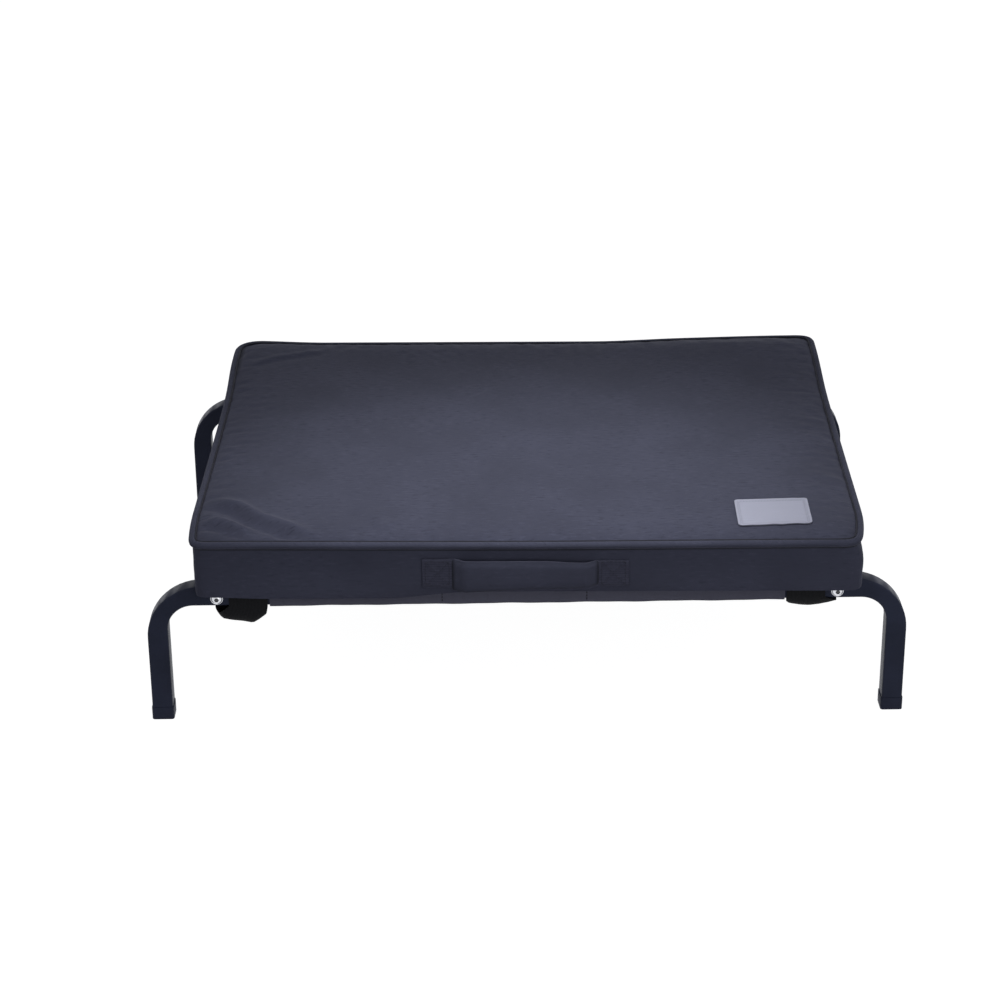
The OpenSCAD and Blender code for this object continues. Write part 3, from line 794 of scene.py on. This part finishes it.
# A value named From gives where a form starts and over what reach it grows: in metres from the middle, but
# lifts and sags in shares of the half length, and upper in shares of the band's height from its base
cushionLook = {
    "cell": 0.008, "crownReach": 0.052, "crownPower": 2.4, "sidePull": 0.001, "bandSwell": 0.001,
    "cornerRearLeft": 0.030, "cornerRearRight": 0.016, "cornerFrontLeft": 0.012, "cornerFrontRight": 0.016,
    "endPower": 4, "rearLeftOut": 0.0045, "rearRightOut": 0.0018, "rearOutAt": 0.27, "rearOutWidth": 0.10,
    "frontLeftIn": 0.0055, "frontRightIn": 0.0020, "frontRightSeamIn": 0.009,
    "frontInFrom": (0.240, 0.092), "upperFrom": (0.55, 0.4),
    "rearRightLift": 0.006, "liftRightFrom": (0.2, 0.8), "rearLeftLift": 0.0015, "liftLeftFrom": (0.7, 0.3),
    "rearSag": 0.002, "sagRightFrom": (-1.0, 0.3), "sagLeftFrom": (-0.55, 0.3), "rearFrom": (0.12, 0.20),
    "frontSag": 0.002, "frontFrom": (0.22, 0.10),
    "crease": 0.9, "fill": 0.8,
}
clothLook = {
    "slack": 0.010, "pressure": 4.0, "stretchStiff": 25, "bendStiff": 1.5, "frames": 20, "moveCap": 0.004,
    # how firmly the foam holds the cover, from 0 to 1
    "holdTopEdge": 0.25, "holdTopGain": 0.45, "holdReach": 0.14, "holdBand": 0.5, "holdRear": 0.85,
}
coverLook = {
    "foldInside": (0.004, 0.012),  # folds and puckers start this far in from the edge, over this reach
    "pucker": 0.0007, "puckerReach": 0.022, "puckerWander": (3, 17), "fineStart": 1.1, "fineShare": 0.6,
    "puckerTurns": 251, "fineTurns": 431,  # radians per metre
    "droop": 0.0085, "droopStart": -0.060, "droopEnd": -0.175, "overhangFrom": (0.308, 0.020),
    "droopBelow": 0.008, "droopReach": 0.040, "cornerTaut": 0.25, "cornerFrom": (0.300, 0.080),
    "zipSetIn": 0.0006, "zipEdge": 0.006,
    # painted shade in the crease along the top seam: the seam line and a narrow strip of the top panel beside
    # it
    "seamDark": 0.0055, "seamHigh": 0.001, "paintedShade": 0.9, "creaseShade": 0.8,
}
# Folds in the top panel: the line each follows from end to end, its width, its height and the dip beside it
topFolds = [
    {"line": [(-0.392, -0.212), (-0.345, -0.240), (-0.320, -0.271), (-0.278, -0.300), (-0.235, -0.328)],
     "width": 0.009, "height": 0.0060, "dip": 1.15},
    {"line": [(-0.385, -0.270), (-0.352, -0.291), (-0.322, -0.316)],
     "width": 0.008, "height": 0.0046, "dip": 1.1},
    {"line": [(-0.385, 0.225), (-0.347, 0.258), (-0.270, 0.294)],
     "width": 0.007, "height": 0.0016, "dip": 0.7},
    {"line": [(-0.186, -0.240), (-0.160, -0.324)], "width": 0.013, "height": 0.0014, "dip": 0.8},
    {"line": [(0.392, -0.172), (0.350, -0.136)], "width": 0.014, "height": 0.0012, "dip": 0.7},
    {"line": [(0.392, -0.050), (0.345, -0.030)], "width": 0.016, "height": 0.0010, "dip": 0.6},
]
foldShape = {"fadeIn": 0.25, "fadeOut": 0.3, "dipAt": 1.7, "dipWidth": 1.3}  # shares of length, then of width


def foldLift(x, y, fold):  # a soft ridge with a dip beside it, fading at its ends
    line = [np.array(p) for p in fold["line"]]
    lengths = [np.linalg.norm(b - a) for a, b in zip(line, line[1:])]
    total, done = sum(lengths), 0.0
    nearest, side, along = np.full(x.shape, np.inf), np.zeros(x.shape), np.zeros(x.shape)
    for a, b, length in zip(line, line[1:], lengths):
        way = (b - a) / length
        t = np.clip((x - a[0]) * way[0] + (y - a[1]) * way[1], 0, length)
        dx, dy = x - a[0] - t * way[0], y - a[1] - t * way[1]
        d = np.hypot(dx, dy)
        closer = d < nearest
        nearest = np.where(closer, d, nearest)
        side = np.where(closer, np.sign(way[0] * dy - way[1] * dx), side)
        along = np.where(closer, (done + t) / total, along)
        done += length
    d = nearest * side / fold["width"]
    fade = ease(along / foldShape["fadeIn"]) * ease((1 - along) / foldShape["fadeOut"])
    dip = fold["dip"] * np.exp(-((d + foldShape["dipAt"]) / foldShape["dipWidth"]) ** 2)
    return fold["height"] * fade * (np.exp(-d * d) - dip)


def roundCorners(x, y, halfX, halfY, r):  # draws the corners of a rectangle in to arcs
    overX, overY = r - halfX + np.abs(x), r - halfY + np.abs(y)
    turning = (overX > 0) & (overY > 0)
    shrink = np.where(turning, np.maximum(overX, overY) / np.maximum(np.hypot(overX, overY), tiny), 1)
    x = np.where(turning, np.sign(x) * (halfX - r + overX * shrink), x)
    y = np.where(turning, np.sign(y) * (halfY - r + overY * shrink), y)
    return x, y


def edgeGap(x, y, size):  # how far inside the cushion's outline a point lies
    return np.minimum(size["halfX"] - np.abs(x), size["halfY"] - np.abs(y))


def leanEnds(x, y, share, size, look):  # the ends bulge towards the rear and draw in towards the front
    nearEnd = np.clip(np.abs(x) / size["halfX"], 0, 1) ** look["endPower"]
    rearward = np.exp(-(((y - look["rearOutAt"]) / look["rearOutWidth"]) ** 2))
    start, reach = look["frontInFrom"]
    frontward = np.clip((-y - start) / reach, 0, 1) ** 2
    seamIn = easeFrom(share, *look["upperFrom"]) * look["frontRightSeamIn"]
    right = rearward * look["rearRightOut"] - frontward * (look["frontRightIn"] + seamIn)
    left = rearward * look["rearLeftOut"] - frontward * look["frontLeftIn"]
    return x + nearEnd * np.where(x > 0, right, -left)


def liftEdges(x, y, share, size, look):  # the rear corners stand up, the rear and front edges sag
    along = x / size["halfX"]
    height = np.clip(share, 0, 1)
    lift = look["rearRightLift"] * easeFrom(along, *look["liftRightFrom"])
    lift = lift + look["rearLeftLift"] * easeFrom(-along, *look["liftLeftFrom"])
    sag = look["rearSag"] * easeFrom(along, *look["sagRightFrom"]) * easeFrom(-along, *look["sagLeftFrom"])
    atRear, atFront = easeFrom(y, *look["rearFrom"]) * height, easeFrom(-y, *look["frontFrom"]) * height
    return atRear * (lift - sag), atFront * look["frontSag"] * np.clip(1 - along**2, 0, 1) ** 2


def shapeCover(spots, size, look):  # crown, corners, swollen band, leaning ends and sagging edges
    x, y, z = spots.T.copy()
    share = (z - size["base"]) / (size["seam"] - size["base"])
    edges = (size["halfX"] - np.abs(x), size["halfY"] - np.abs(y))
    riseX, riseY = (1 - (1 - np.clip(e / look["crownReach"], 0, 1)) ** look["crownPower"] for e in edges)
    z = np.where(z > size["seam"] - hair, z + (size["top"] - size["seam"]) * riseX * riseY, z)
    rear, front = ([look[f"corner{end}{side}"] for side in ("Left", "Right")] for end in ("Rear", "Front"))
    r = np.where(x < 0, np.where(y > 0, rear[0], front[0]), np.where(y > 0, rear[1], front[1]))
    x, y = roundCorners(x, y, size["halfX"], size["halfY"], r)
    move = look["bandSwell"] * np.sin(np.pi * np.clip(share, 0, 1)) - look["sidePull"]
    midX, midY = 1 - (x / size["halfX"]) ** 2, 1 - (y / size["halfY"]) ** 2
    x = x * (1 + move * midY / size["halfX"])
    y = np.where(y < 0, y * (1 + move * midX / size["halfY"]), y)
    x = leanEnds(x, y, share, size, look)
    rise, fall = liftEdges(x, y, share, size, look)
    return np.stack([x, y, z + rise - fall], 1)


def coverHold(spots, size, look):  # how firmly the foam and the seams hold each point of the cover
    x, y, z = spots.T
    edge = edgeGap(x, y, size)
    onTop = z > size["seam"] - hair
    topHold = look["holdTopEdge"] + look["holdTopGain"] * ease(edge / look["holdReach"])
    hold = np.where(onTop, topHold, look["holdBand"])
    hold = np.where(y > size["halfY"] - hair, look["holdRear"], hold)
    return np.where((z < size["base"] + hair) | (onTop & (edge < hair)), 1.0, hold)


def swellCover(pad, look):  # the cover settles as cloth: a little spare fabric, pushed out by the foam
    before = readPoints(pad)
    pick(pad)
    cloth = pad.modifiers.new("Cloth", "CLOTH")
    cloth.settings.vertex_group_mass = "held"
    cloth.settings.use_pressure = True
    cloth.settings.uniform_pressure_force = look["pressure"]
    cloth.settings.effector_weights.gravity = 0
    cloth.settings.shrink_min = -look["slack"]
    cloth.settings.tension_stiffness = look["stretchStiff"]
    cloth.settings.compression_stiffness = look["stretchStiff"]
    cloth.settings.bending_stiffness = look["bendStiff"]
    cloth.point_cache.frame_start = 1
    cloth.point_cache.frame_end = look["frames"]
    scene = bpy.context.scene
    for step in range(1, look["frames"] + 1):
        scene.frame_set(step)
    pick(pad)
    bpy.ops.object.modifier_apply(modifier="Cloth")
    scene.frame_set(1)
    moved = readPoints(pad) - before
    far = np.linalg.norm(moved, axis=1)
    print("cover swelled by up to", round(float(far.max()) * 1000, 1), "mm")
    keep = look["moveCap"] * np.tanh(far / look["moveCap"]) / np.maximum(far, tiny)
    writePoints(pad, before + moved * keep[:, None])


def detailCover(spots, size, look):  # folds, puckers at the seam, the slack lower edge, the bed of the zip
    x, y, z = spots.T.copy()
    onTop = z > size["seam"] - hair
    edge = edgeGap(x, y, size)
    lift = sum(foldLift(x, y, fold) for fold in topFolds)
    around = np.where(size["halfX"] - np.abs(x) < size["halfY"] - np.abs(y), y, x)
    wander, wanderTurns = look["puckerWander"]
    ripple = np.sin(around * look["puckerTurns"] + wander * np.sin(around * wanderTurns))
    ripple = ripple + look["fineShare"] * np.sin(around * look["fineTurns"] + look["fineStart"])
    pucker = look["pucker"] * ripple * np.exp(-edge / look["puckerReach"])
    z = np.where(onTop, z + easeFrom(edge, *look["foldInside"]) * (lift + pucker), z)
    lower = ease((size["seam"] - look["droopBelow"] - z) / look["droopReach"])
    overhang = easeFrom(-y, *look["overhangFrom"]) * lower
    slackAlong = ease((look["droopStart"] - x) / (look["droopStart"] - look["droopEnd"]))
    slackAlong = slackAlong * (1 - look["cornerTaut"] * easeFrom(-x, *look["cornerFrom"]))
    z = z - look["droop"] * overhang * slackAlong
    zipMiddle, zipHalf = (zipLow.z + zipHigh.z) / 2, (zipHigh.z - zipLow.z) / 2
    past = np.maximum(np.abs(x) - zipHigh.x, np.abs(z - zipMiddle) - zipHalf)
    behind = ease(1 - past / look["zipEdge"]) * np.clip(y - (zipLow.y - look["zipSetIn"]), 0, 1)
    return np.stack([x, y - behind, z], 1)


def makeCushion(size, look):
    low = Vector((-size["halfX"], -size["halfY"], size["base"]))
    high = Vector((size["halfX"], size["halfY"], size["seam"]))
    pad = gridBlock("cushionPad", low, high, (look["cell"],) * 3)
    flat = readPoints(pad)
    onRim = edgeGap(flat[:, 0], flat[:, 1], size) < hair
    onSeam, onBase = onRim & (flat[:, 2] > high.z - hair), onRim & (flat[:, 2] < low.z + hair)
    groupWeights(pad, "seam", onSeam)
    groupWeights(pad, "held", coverHold(flat, size, clothLook))
    writePoints(pad, shapeCover(flat, size, look))
    rims = [set(np.flatnonzero(rim)) for rim in (onSeam, onBase)]
    selectEdges(pad, lambda a, b: any({a.index, b.index} <= rim for rim in rims))
    bpy.ops.transform.edge_crease(value=look["crease"])
    objectMode()
    swellCover(pad, clothLook)
    addStep(pad, "SUBSURF", levels=1, render_levels=1)
    seamNear = readWeights(pad, "seam")
    spots = detailCover(readPoints(pad), size, coverLook)
    writePoints(pad, spots)
    boxUv(pad)
    # painted shade: the seam line and the strip of the top panel beside the piping are coloured dark, where
    # the crease lies in shade
    atEdge = edgeGap(spots[:, 0], spots[:, 1], size) < coverLook["seamDark"]
    sewn = (spots[:, 2] > size["seam"] - coverLook["seamHigh"]) & atEdge
    shade = np.maximum(seamNear * coverLook["paintedShade"], sewn * coverLook["creaseShade"])
    addValues(pad, "paintedShade", shade)
    return smoothFaces(pad, "padded")


pipingLook = {
    "cell": 0.004, "round": 4, "seamWeight": 0.99,
    "upperIn": 0.0003, "upperUp": 0.0032, "upperRadius": 0.0011,  # dark cord on the top panel beside the piping, standing in for the shade of the crease
    "lowerOut": 0.0004, "lowerDown": 0.0006, "lowerRadius": 0.0009,  # and one below the piping, also painted shade of the crease
}


def wrapCord(line, name, inward, raised, radius, sides, look):  # a cord on the seam's line or beside it
    cord = copyOf(line, name)
    spots = [p.co.copy() for p in cord.data.splines[0].points]
    for i, point in enumerate(cord.data.splines[0].points):
        way = spots[(i + 1) % len(spots)] - spots[i - 1]
        side = Vector((-way.y, way.x, 0)).normalized()
        if side.x * spots[i].x + side.y * spots[i].y > 0:
            side = -side
        point.co = (*(spots[i].xyz + side * inward + Vector((0, 0, raised))), 1)
    cord.data.bevel_depth = radius
    cord.data.bevel_resolution = sides
    ringSize = 2 * (sides + 2)
    pick(cord)
    bpy.ops.object.convert(target="MESH")
    rings = len(cord.data.vertices) // ringSize
    turn = np.tile(np.arange(ringSize) / ringSize, rings) * 2 * math.pi * radius
    along = np.repeat(np.arange(rings), ringSize) * look["cell"]
    writeUv(cord, np.stack([along + turn, along - turn], 1))  # cut on the bias
    return smoothFaces(cord, "cord")


def makePiping(pad, pipe, look):  # a wrapped cord along the top seam, with a dark cord on each side as painted shade of the creases
    seamIndex = set(np.flatnonzero(readWeights(pad, "seam") > look["seamWeight"]))
    selectEdges(pad, lambda a, b: a.index in seamIndex and b.index in seamIndex)
    bpy.ops.mesh.duplicate()
    bpy.ops.mesh.separate(type="SELECTED")
    objectMode()
    line = next(o for o in bpy.context.selected_objects if o != pad)
    pick(line)
    bpy.ops.object.convert(target="CURVE")
    piping = wrapCord(line, "cushionPiping", 0.0, 0.0, pipe, look["round"], look)
    upperIn, lowerDown = pipe - look["upperIn"], -pipe - look["lowerDown"]
    upper = wrapCord(line, "upperCreaseShade", upperIn, look["upperUp"], look["upperRadius"], 1, look)
    lower = wrapCord(line, "lowerCreaseShade", -look["lowerOut"], lowerDown, look["lowerRadius"], 1, look)
    bpy.data.objects.remove(line)
    return piping, upper, lower


pad = makeCushion(cushionSize, cushionLook)
piping, *creaseShades = makePiping(pad, cushionSize["pipe"], pipingLook)
padNodes = ("foam_core", "cover_top_panel", "cover_bottom_panel", "cover_side_band")
for piece in (pad, piping):
    wear(layOnCot(piece), finishes["cover"])
belong(pad, "cushion", "cover_fabric", *padNodes)
belong(piping, "cushion", "piping_fabric", "top_piping")
# the dark cords beside the piping are painted shade, in the dark thread finish
for shadeLine in creaseShades:
    wear(layOnCot(shadeLine), finishes["thread"])
    belong(shadeLine, "cushion", "piping_fabric")
print("cushion made:", len(pad.data.polygons), "faces")


# Label: a bare woven patch sewn on the top panel

labelLook = {
    "shear": 0.056, "forward": 0.0025, "cell": 0.0014, "thick": 0.0016, "corner": 0.0045,
    # a line of painted shade lies inside the hem: its width and darkness end this row
    "hem": 0.0042, "hemRise": 0.0010, "hemSlope": 0.0014, "shadeLine": 0.0014, "shadeLineDark": 0.3,
    "stitch": (0.0028, 0.0006, 0.0005), "stitchPitch": 0.0036, "stitchProud": 0.0001,
}


def surfaceHeight(piece, spots, above=0.1):  # height of a piece's top under or over each point
    heights = []
    for x, y, z in spots:
        hit, place, _, _ = piece.ray_cast((x, y, z + above), (0, 0, -1))
        heights.append(place.z if hit else z)
    return np.array(heights)


def makeLabel(look):
    low, high = cushionBox("cushion_label")
    size, middle = high - low, (low + high) / 2
    path = [Vector((-size.x / 2, 0, 0)), Vector((size.x / 2, 0, 0))]
    label = layStrip("bareLabel", path, size.y, (0, 1, 0), (look["cell"],) * 2)
    x, y, z = readPoints(label).T
    edge = np.minimum(size.x / 2 - np.abs(x), size.y / 2 - np.abs(y))
    hem = look["hemRise"] * ease((look["hem"] - edge) / look["hemSlope"])
    shadeLine = look["shadeLineDark"] * np.exp(-(((edge - look["hem"]) / look["shadeLine"]) ** 2))
    x, y = roundCorners(x, y, size.x / 2, size.y / 2, look["corner"])
    writePoints(label, np.stack([x, y, z], 1))
    askew = Matrix.Identity(4)
    askew[1][0] = look["shear"]
    place = lieOnCot @ Matrix.Translation((middle.x, middle.y - look["forward"], 0)) @ askew
    label.data.transform(place)
    spots = readPoints(label)
    spots[:, 2] = surfaceHeight(pad, spots + np.array([0, 0, middle.z])) + look["thick"] / 2 + hem
    writePoints(label, spots)
    thicken(label, look["thick"], "cloth", "label")
    # painted shade: the under face and edges of the label are coloured dark as its shadow, and a line along
    # the stitches inside the hem as the shade of their groove
    one, other = np.split(readPoints(label)[:, 2], 2)  # the two faces of the cloth
    under = np.concatenate([one < other, other < one])
    addValues(label, "paintedShade", np.where(under, 1.0, np.tile(shadeLine, 2)))
    rows = []
    inX, inY = size.x / 2 - look["hem"], size.y / 2 - look["hem"]
    corners = [(-inX, -inY), (inX, -inY), (inX, inY), (-inX, inY)]
    for a, b in zip(corners, corners[1:] + corners[:1]):
        rows.append(stitchRow(Vector((*a, 0)), Vector((*b, 0)), Vector((0, 0, 1)), look))
    stitches = joinPieces("labelStitches", rows)
    stitches.data.transform(place)
    spots = readPoints(stitches)
    spots[:, 2] += surfaceHeight(label, spots + np.array([0, 0, middle.z])) + look["stitchProud"]
    writePoints(stitches, spots)
    wear(stitches, finishes["paleThread"])
    belong(label, "cushion", "label_fabric", "cushion_label")
    belong(stitches, "cushion", "label_fabric")


makeLabel(labelLook)
print("label sewn on")


# Handle: webbing sewn on the front, with a soft grip round its middle

handleLook = {
    "anchor": 0.036, "ramp": 0.016, "thick": 0.0018, "cell": 0.005, "bowSteps": 140, "along": -0.002,
    "bevel": 0.0005, "webLift": 0.0015, "webDrop": 0.0027, "narrowFrom": (0.02, 0.05),  # to its right end
    "stitch": (0.0030, 0.0008, 0.0006), "stitchPitch": 0.0042, "stitchProud": 0.0003, "boxInset": 0.004,
}
gripLook = {
    "thick": 0.0056, "endThick": 0.0042, "layers": 4, "pastSeam": 0.0005, "pastWeb": 0.0012, "fill": 0.5,
    "endPower": 6, "edgePower": 5,
    "rimThick": 0.35, "puff": 0.75,  # shares of its thickness
    # lift of its lower edge and drop of its upper edge at the left end, the middle and the right end
    "lowLift": (-0.0020, 0.0028, 0.0050), "highDrop": (0.0015, 0.0012, 0.0040),
    "darkFrom": (0.78, 0.2), "dark": 0.5, "darkEnd": 0.97,  # painted shade along its upper and lower edges and at its ends
}
webLow, webHigh = cushionBox("handle_webbing")
handleSize = {
    "face": webHigh.y - handleLook["thick"] / 2, "out": webLow.y + handleLook["thick"] / 2,
    "middle": (webLow.z + webHigh.z) / 2, "width": webHigh.z - webLow.z,
    "end": webHigh.x, "sewn": webHigh.x - handleLook["anchor"],
}


def bow(x, size):  # where the webbing stands in front of the band
    return size["face"] + (size["out"] - size["face"]) * ease((size["sewn"] - np.abs(x)) / handleLook["ramp"])


def makeWeb(size, look):
    across = np.linspace(-size["end"], size["end"], look["bowSteps"])
    path = [Vector((x, y, size["middle"])) for x, y in zip(across, bow(across, size))]
    web = layStrip("web", path, size["width"], (0, 0, 1), (look["cell"] / 2, look["cell"]))
    x, y, z = readPoints(web).T
    share, narrow = (z - size["middle"]) / (size["width"] / 2), easeFrom(x, *look["narrowFrom"])
    z = z - share * narrow * np.where(share < 0, look["webLift"], look["webDrop"])
    writePoints(web, np.stack([x, y, z], 1))
    return thicken(web, look["thick"], "firm", "handle", look["bevel"])


def makeGrip(size, look):
    half = Vector((size["sewn"] + look["pastSeam"], look["thick"] / 2, size["width"] / 2 + look["pastWeb"]))
    cell = handleLook["cell"]
    grip = gridBlock("grip", -half, half, (cell, look["thick"] / look["layers"], cell))
    x, y, z = readPoints(grip).T
    share, ends = z / half.z, (-half.x, 0, half.x)
    ending = (np.abs(x) / half.x) ** look["endPower"]
    puff = np.sqrt(np.clip(1 - np.abs(share) ** look["edgePower"], 0, 1))
    puff = puff * (1 - ending * (1 - look["endThick"] / look["thick"]))
    squeeze = np.where(share < 0, np.interp(x, ends, look["lowLift"]), np.interp(x, ends, look["highDrop"]))
    # painted shade: the grip's edges and ends are coloured dark
    dark = easeFrom(np.abs(share), *look["darkFrom"]) * look["dark"]
    groupWeights(grip, "edge", np.maximum(dark, np.abs(x) > half.x * look["darkEnd"]))
    y = bow(x, size) + y * (look["rimThick"] + look["puff"] * puff)
    writePoints(grip, np.stack([x, y, size["middle"] + z - share * squeeze], 1))
    addStep(grip, "SUBSURF", levels=1, render_levels=1)
    addValues(grip, "paintedShade", readWeights(grip, "edge"))
    boxUv(grip)
    return wear(smoothFaces(grip, "padded"), finishes["cover"])


def halves(piece, base):  # the left and right half of a piece, cut at its middle
    made = []
    for side, way in (("Left", -1), ("Right", 1)):
        half = copyOf(piece, base + side)
        editAll(half)
        bpy.ops.mesh.bisect(plane_co=(0, 0, 0), plane_no=(-way, 0, 0), clear_outer=True)
        objectMode()
        made.append((half, way))
    bpy.data.objects.remove(piece)
    return made


def followGrip(piece, base, node, look):  # each half is laid on the cot and made its own mesh, and its CAD node is hidden
    made, along = [], look["along"]
    for half, way in halves(piece, base):
        layOnCot(half, along)
        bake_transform(half)
        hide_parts(node)
        made.append(half)
    return made


def sewHandle(size, look):  # a crossed box of stitches on each end
    rows = []
    inset, tall = look["boxInset"], size["width"] / 2 - look["boxInset"]
    front = size["face"] - look["thick"] / 2 - look["stitchProud"]
    z0, z1 = size["middle"] - tall, size["middle"] + tall
    for way in (-1, 1):
        x0, x1 = sorted((way * (size["end"] - inset), way * (size["sewn"] + inset)))
        box = [Vector((x, front, z)) for x, z in ((x0, z0), (x1, z0), (x1, z1), (x0, z1))]
        pairs = list(zip(box, box[1:] + box[:1])) + [(box[0], box[2]), (box[1], box[3])]
        rows += [stitchRow(a, b, Vector((0, -1, 0)), look) for a, b in pairs]
    stitches = layOnCot(joinPieces("handleStitches", rows), look["along"])
    belong(wear(stitches, finishes["handleThread"]), "cushion", "handle_fabric")


web, grip = makeWeb(handleSize, handleLook), makeGrip(handleSize, gripLook)
followGrip(web, "handleWebbing", "handle_webbing", handleLook)
for half in followGrip(grip, "handleGrip", "handle_grip", handleLook):
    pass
sewHandle(handleSize, handleLook)
print("handle made")


# Corner straps: flat webbing round the rails, sewn under the cushion

strapLook = {
    "thick": 0.0016, "tab": 0.011, "gap": 0.001, "cell": (0.002, 0.0024), "freeAbove": 0.004, "bevel": 0.0004,
    "tabCorner": 0.003, "loopCorner": 0.011, "loopCornerLow": 0.004,  # bends at the cushion and in the loop
    "wave": 0.0008, "waveTurn": 4,
}
# How far the outer and the inner edge of each loop sway outwards under the rail, how much further
# its far side sways, and how much lower than its CAD loop it hangs from its inner edge to its outer edge
strapHang = {
    "front_left": {"sway": (0.011, 0.002), "twist": 0.010, "drop": [
        (0, -0.0045), (0.14, 0.002), (0.28, 0.007), (0.5, 0.0044), (0.72, 0.0028), (0.92, 0.0), (1, -0.007),
    ]},
    "front_right": {"sway": (0.014, 0.0), "twist": 0.003, "drop": [
        (0, -0.002), (0.06, 0.0008), (0.28, 0.0034), (0.45, 0.0042), (0.64, 0.0028), (0.84, 0.0), (1, -0.003),
    ]},
    "rear_left": {"sway": (0.003, 0.002), "twist": 0.0, "drop": [(0, 0.0005), (0.4, 0.002), (1, -0.001)]},
    "rear_right": {"sway": (0.002, 0.003), "twist": 0.0, "drop": [(0, -0.001), (0.6, 0.001), (1, 0.0005)]},
}


def makeStrap(side, end, look):
    node = f"{side}_{end}_strap"
    hanging = strapHang[f"{side}_{end}"]
    low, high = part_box(node)
    railLow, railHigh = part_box(side + "_leg_rail")
    middle, rail = (low + high) / 2, (railLow + railHigh) / 2
    thick, width = look["thick"], high.x - low.x
    half = (railHigh.y - railLow.y) / 2 + look["gap"] + thick / 2
    top, bottom = high.z - thick / 2, low.z + thick / 2
    tab = half + look["tab"]
    hang = railHigh.z - (railHigh.y - railLow.y) - bottom
    r = min(hang + look["loopCornerLow"], look["loopCorner"])
    places = [(-tab, top), (-half, top), (-half, bottom), (half, bottom), (half, top), (tab, top)]
    corners = [(middle.x, rail.y + y, z) for y, z in places]
    path = roundedPath(corners, [look["tabCorner"], r, r, look["tabCorner"]])
    strap = layStrip(side + end.title() + "Strap", path, width, (1, 0, 0), look["cell"])
    spots = readPoints(strap)
    outwards = -1 if end == "left" else 1
    outer = (spots[:, 0] - middle.x) / width * outwards + 0.5
    free = bottom + hang + look["freeAbove"]  # the loop is free a little above the underside of its rail
    loose = ease((free - spots[:, 2]) / (free - bottom))
    behind = (spots[:, 1] - rail.y) / (2 * half) + 0.5
    sway = np.interp(outer, (0, 1), hanging["sway"][::-1]) + hanging["twist"] * behind
    drop = np.interp(outer, *zip(*hanging["drop"]))
    spots[:, 0] += outwards * loose * sway
    spots[:, 2] -= loose * drop
    spots[:, 1] += look["wave"] * loose * np.sin(outer * look["waveTurn"])
    writePoints(strap, spots)
    thicken(strap, thick, "firm", "strap", look["bevel"])
    belong(strap, "cushion", "strap_webbing", node)


for side in ("front", "rear"):
    for end in ("left", "right"):
        makeStrap(side, end, strapLook)
print("straps made")


# Zip in the rear of the band

zipLook = {
    "tapeCell": (0.006, 0.0025), "toothPitch": 0.0017, "tooth": (0.0010, 0.0022, 0.0030), "toothSoft": 0.0004,
    "toothOff": 0.0009, "firstTooth": 0.75, "stagger": 0.25,  # the last two in shares of the pitch
}
zipMetal = (  # CAD node, piece, body and softened edge
    ("zip_slider", "zipSliderBody", "slider", 0.0004),
    ("zip_pull", "zipPullTab", "pull", 0.0003),
    ("zip_stops", "zipStopPair", "cushion", 0.0004),
)


def makeZip(look):
    teethLow, teethHigh = cushionBox("zip_teeth")
    middle, toothGap = (zipLow.z + zipHigh.z) / 2, (teethHigh.z - teethLow.z) / 2
    width = (zipHigh.z - zipLow.z) / 2 - toothGap
    tapeY, teethY = (zipLow.y + zipHigh.y) / 2, (teethLow.y + teethHigh.y) / 2
    pitch = look["toothPitch"]
    count = int((teethHigh.x - teethLow.x) / pitch)
    stripes, rows = [], []
    for way in (-1, 1):
        z = middle + way * (toothGap + width / 2)
        path = [Vector((x, tapeY, z)) for x in (zipLow.x, zipHigh.x)]
        stripes.append(layStrip("tape", path, width, (0, 0, 1), look["tapeCell"]))
        first = teethLow.x + pitch * (look["firstTooth"] + look["stagger"] * way)
        place = (first, teethY, middle + way * look["toothOff"])
        rows.append(blockRow(look["tooth"], look["toothSoft"], count, pitch, place))
    tapes = joinPieces("zipTapeCloth", stripes)
    addStep(tapes, "SOLIDIFY", thickness=zipHigh.y - zipLow.y, offset=0)
    teeth = joinPieces("zipTeethRows", rows)
    for piece, finish, node, slot in (
        (tapes, "tape", "zip_tapes", "zip_tape"),
        (teeth, "teeth", "zip_teeth", "zip_teeth"),
    ):
        wear(smoothFaces(layOnCot(piece)), finishes[finish])
        belong(piece, "cushion", slot, node)
    for node, name, body, soft in zipMetal:
        smoothCopy(node, name, body, finishes["zip"], "zip_metal", bevel=soft)


makeZip(zipLook)
print("zip made")

deselectAll()
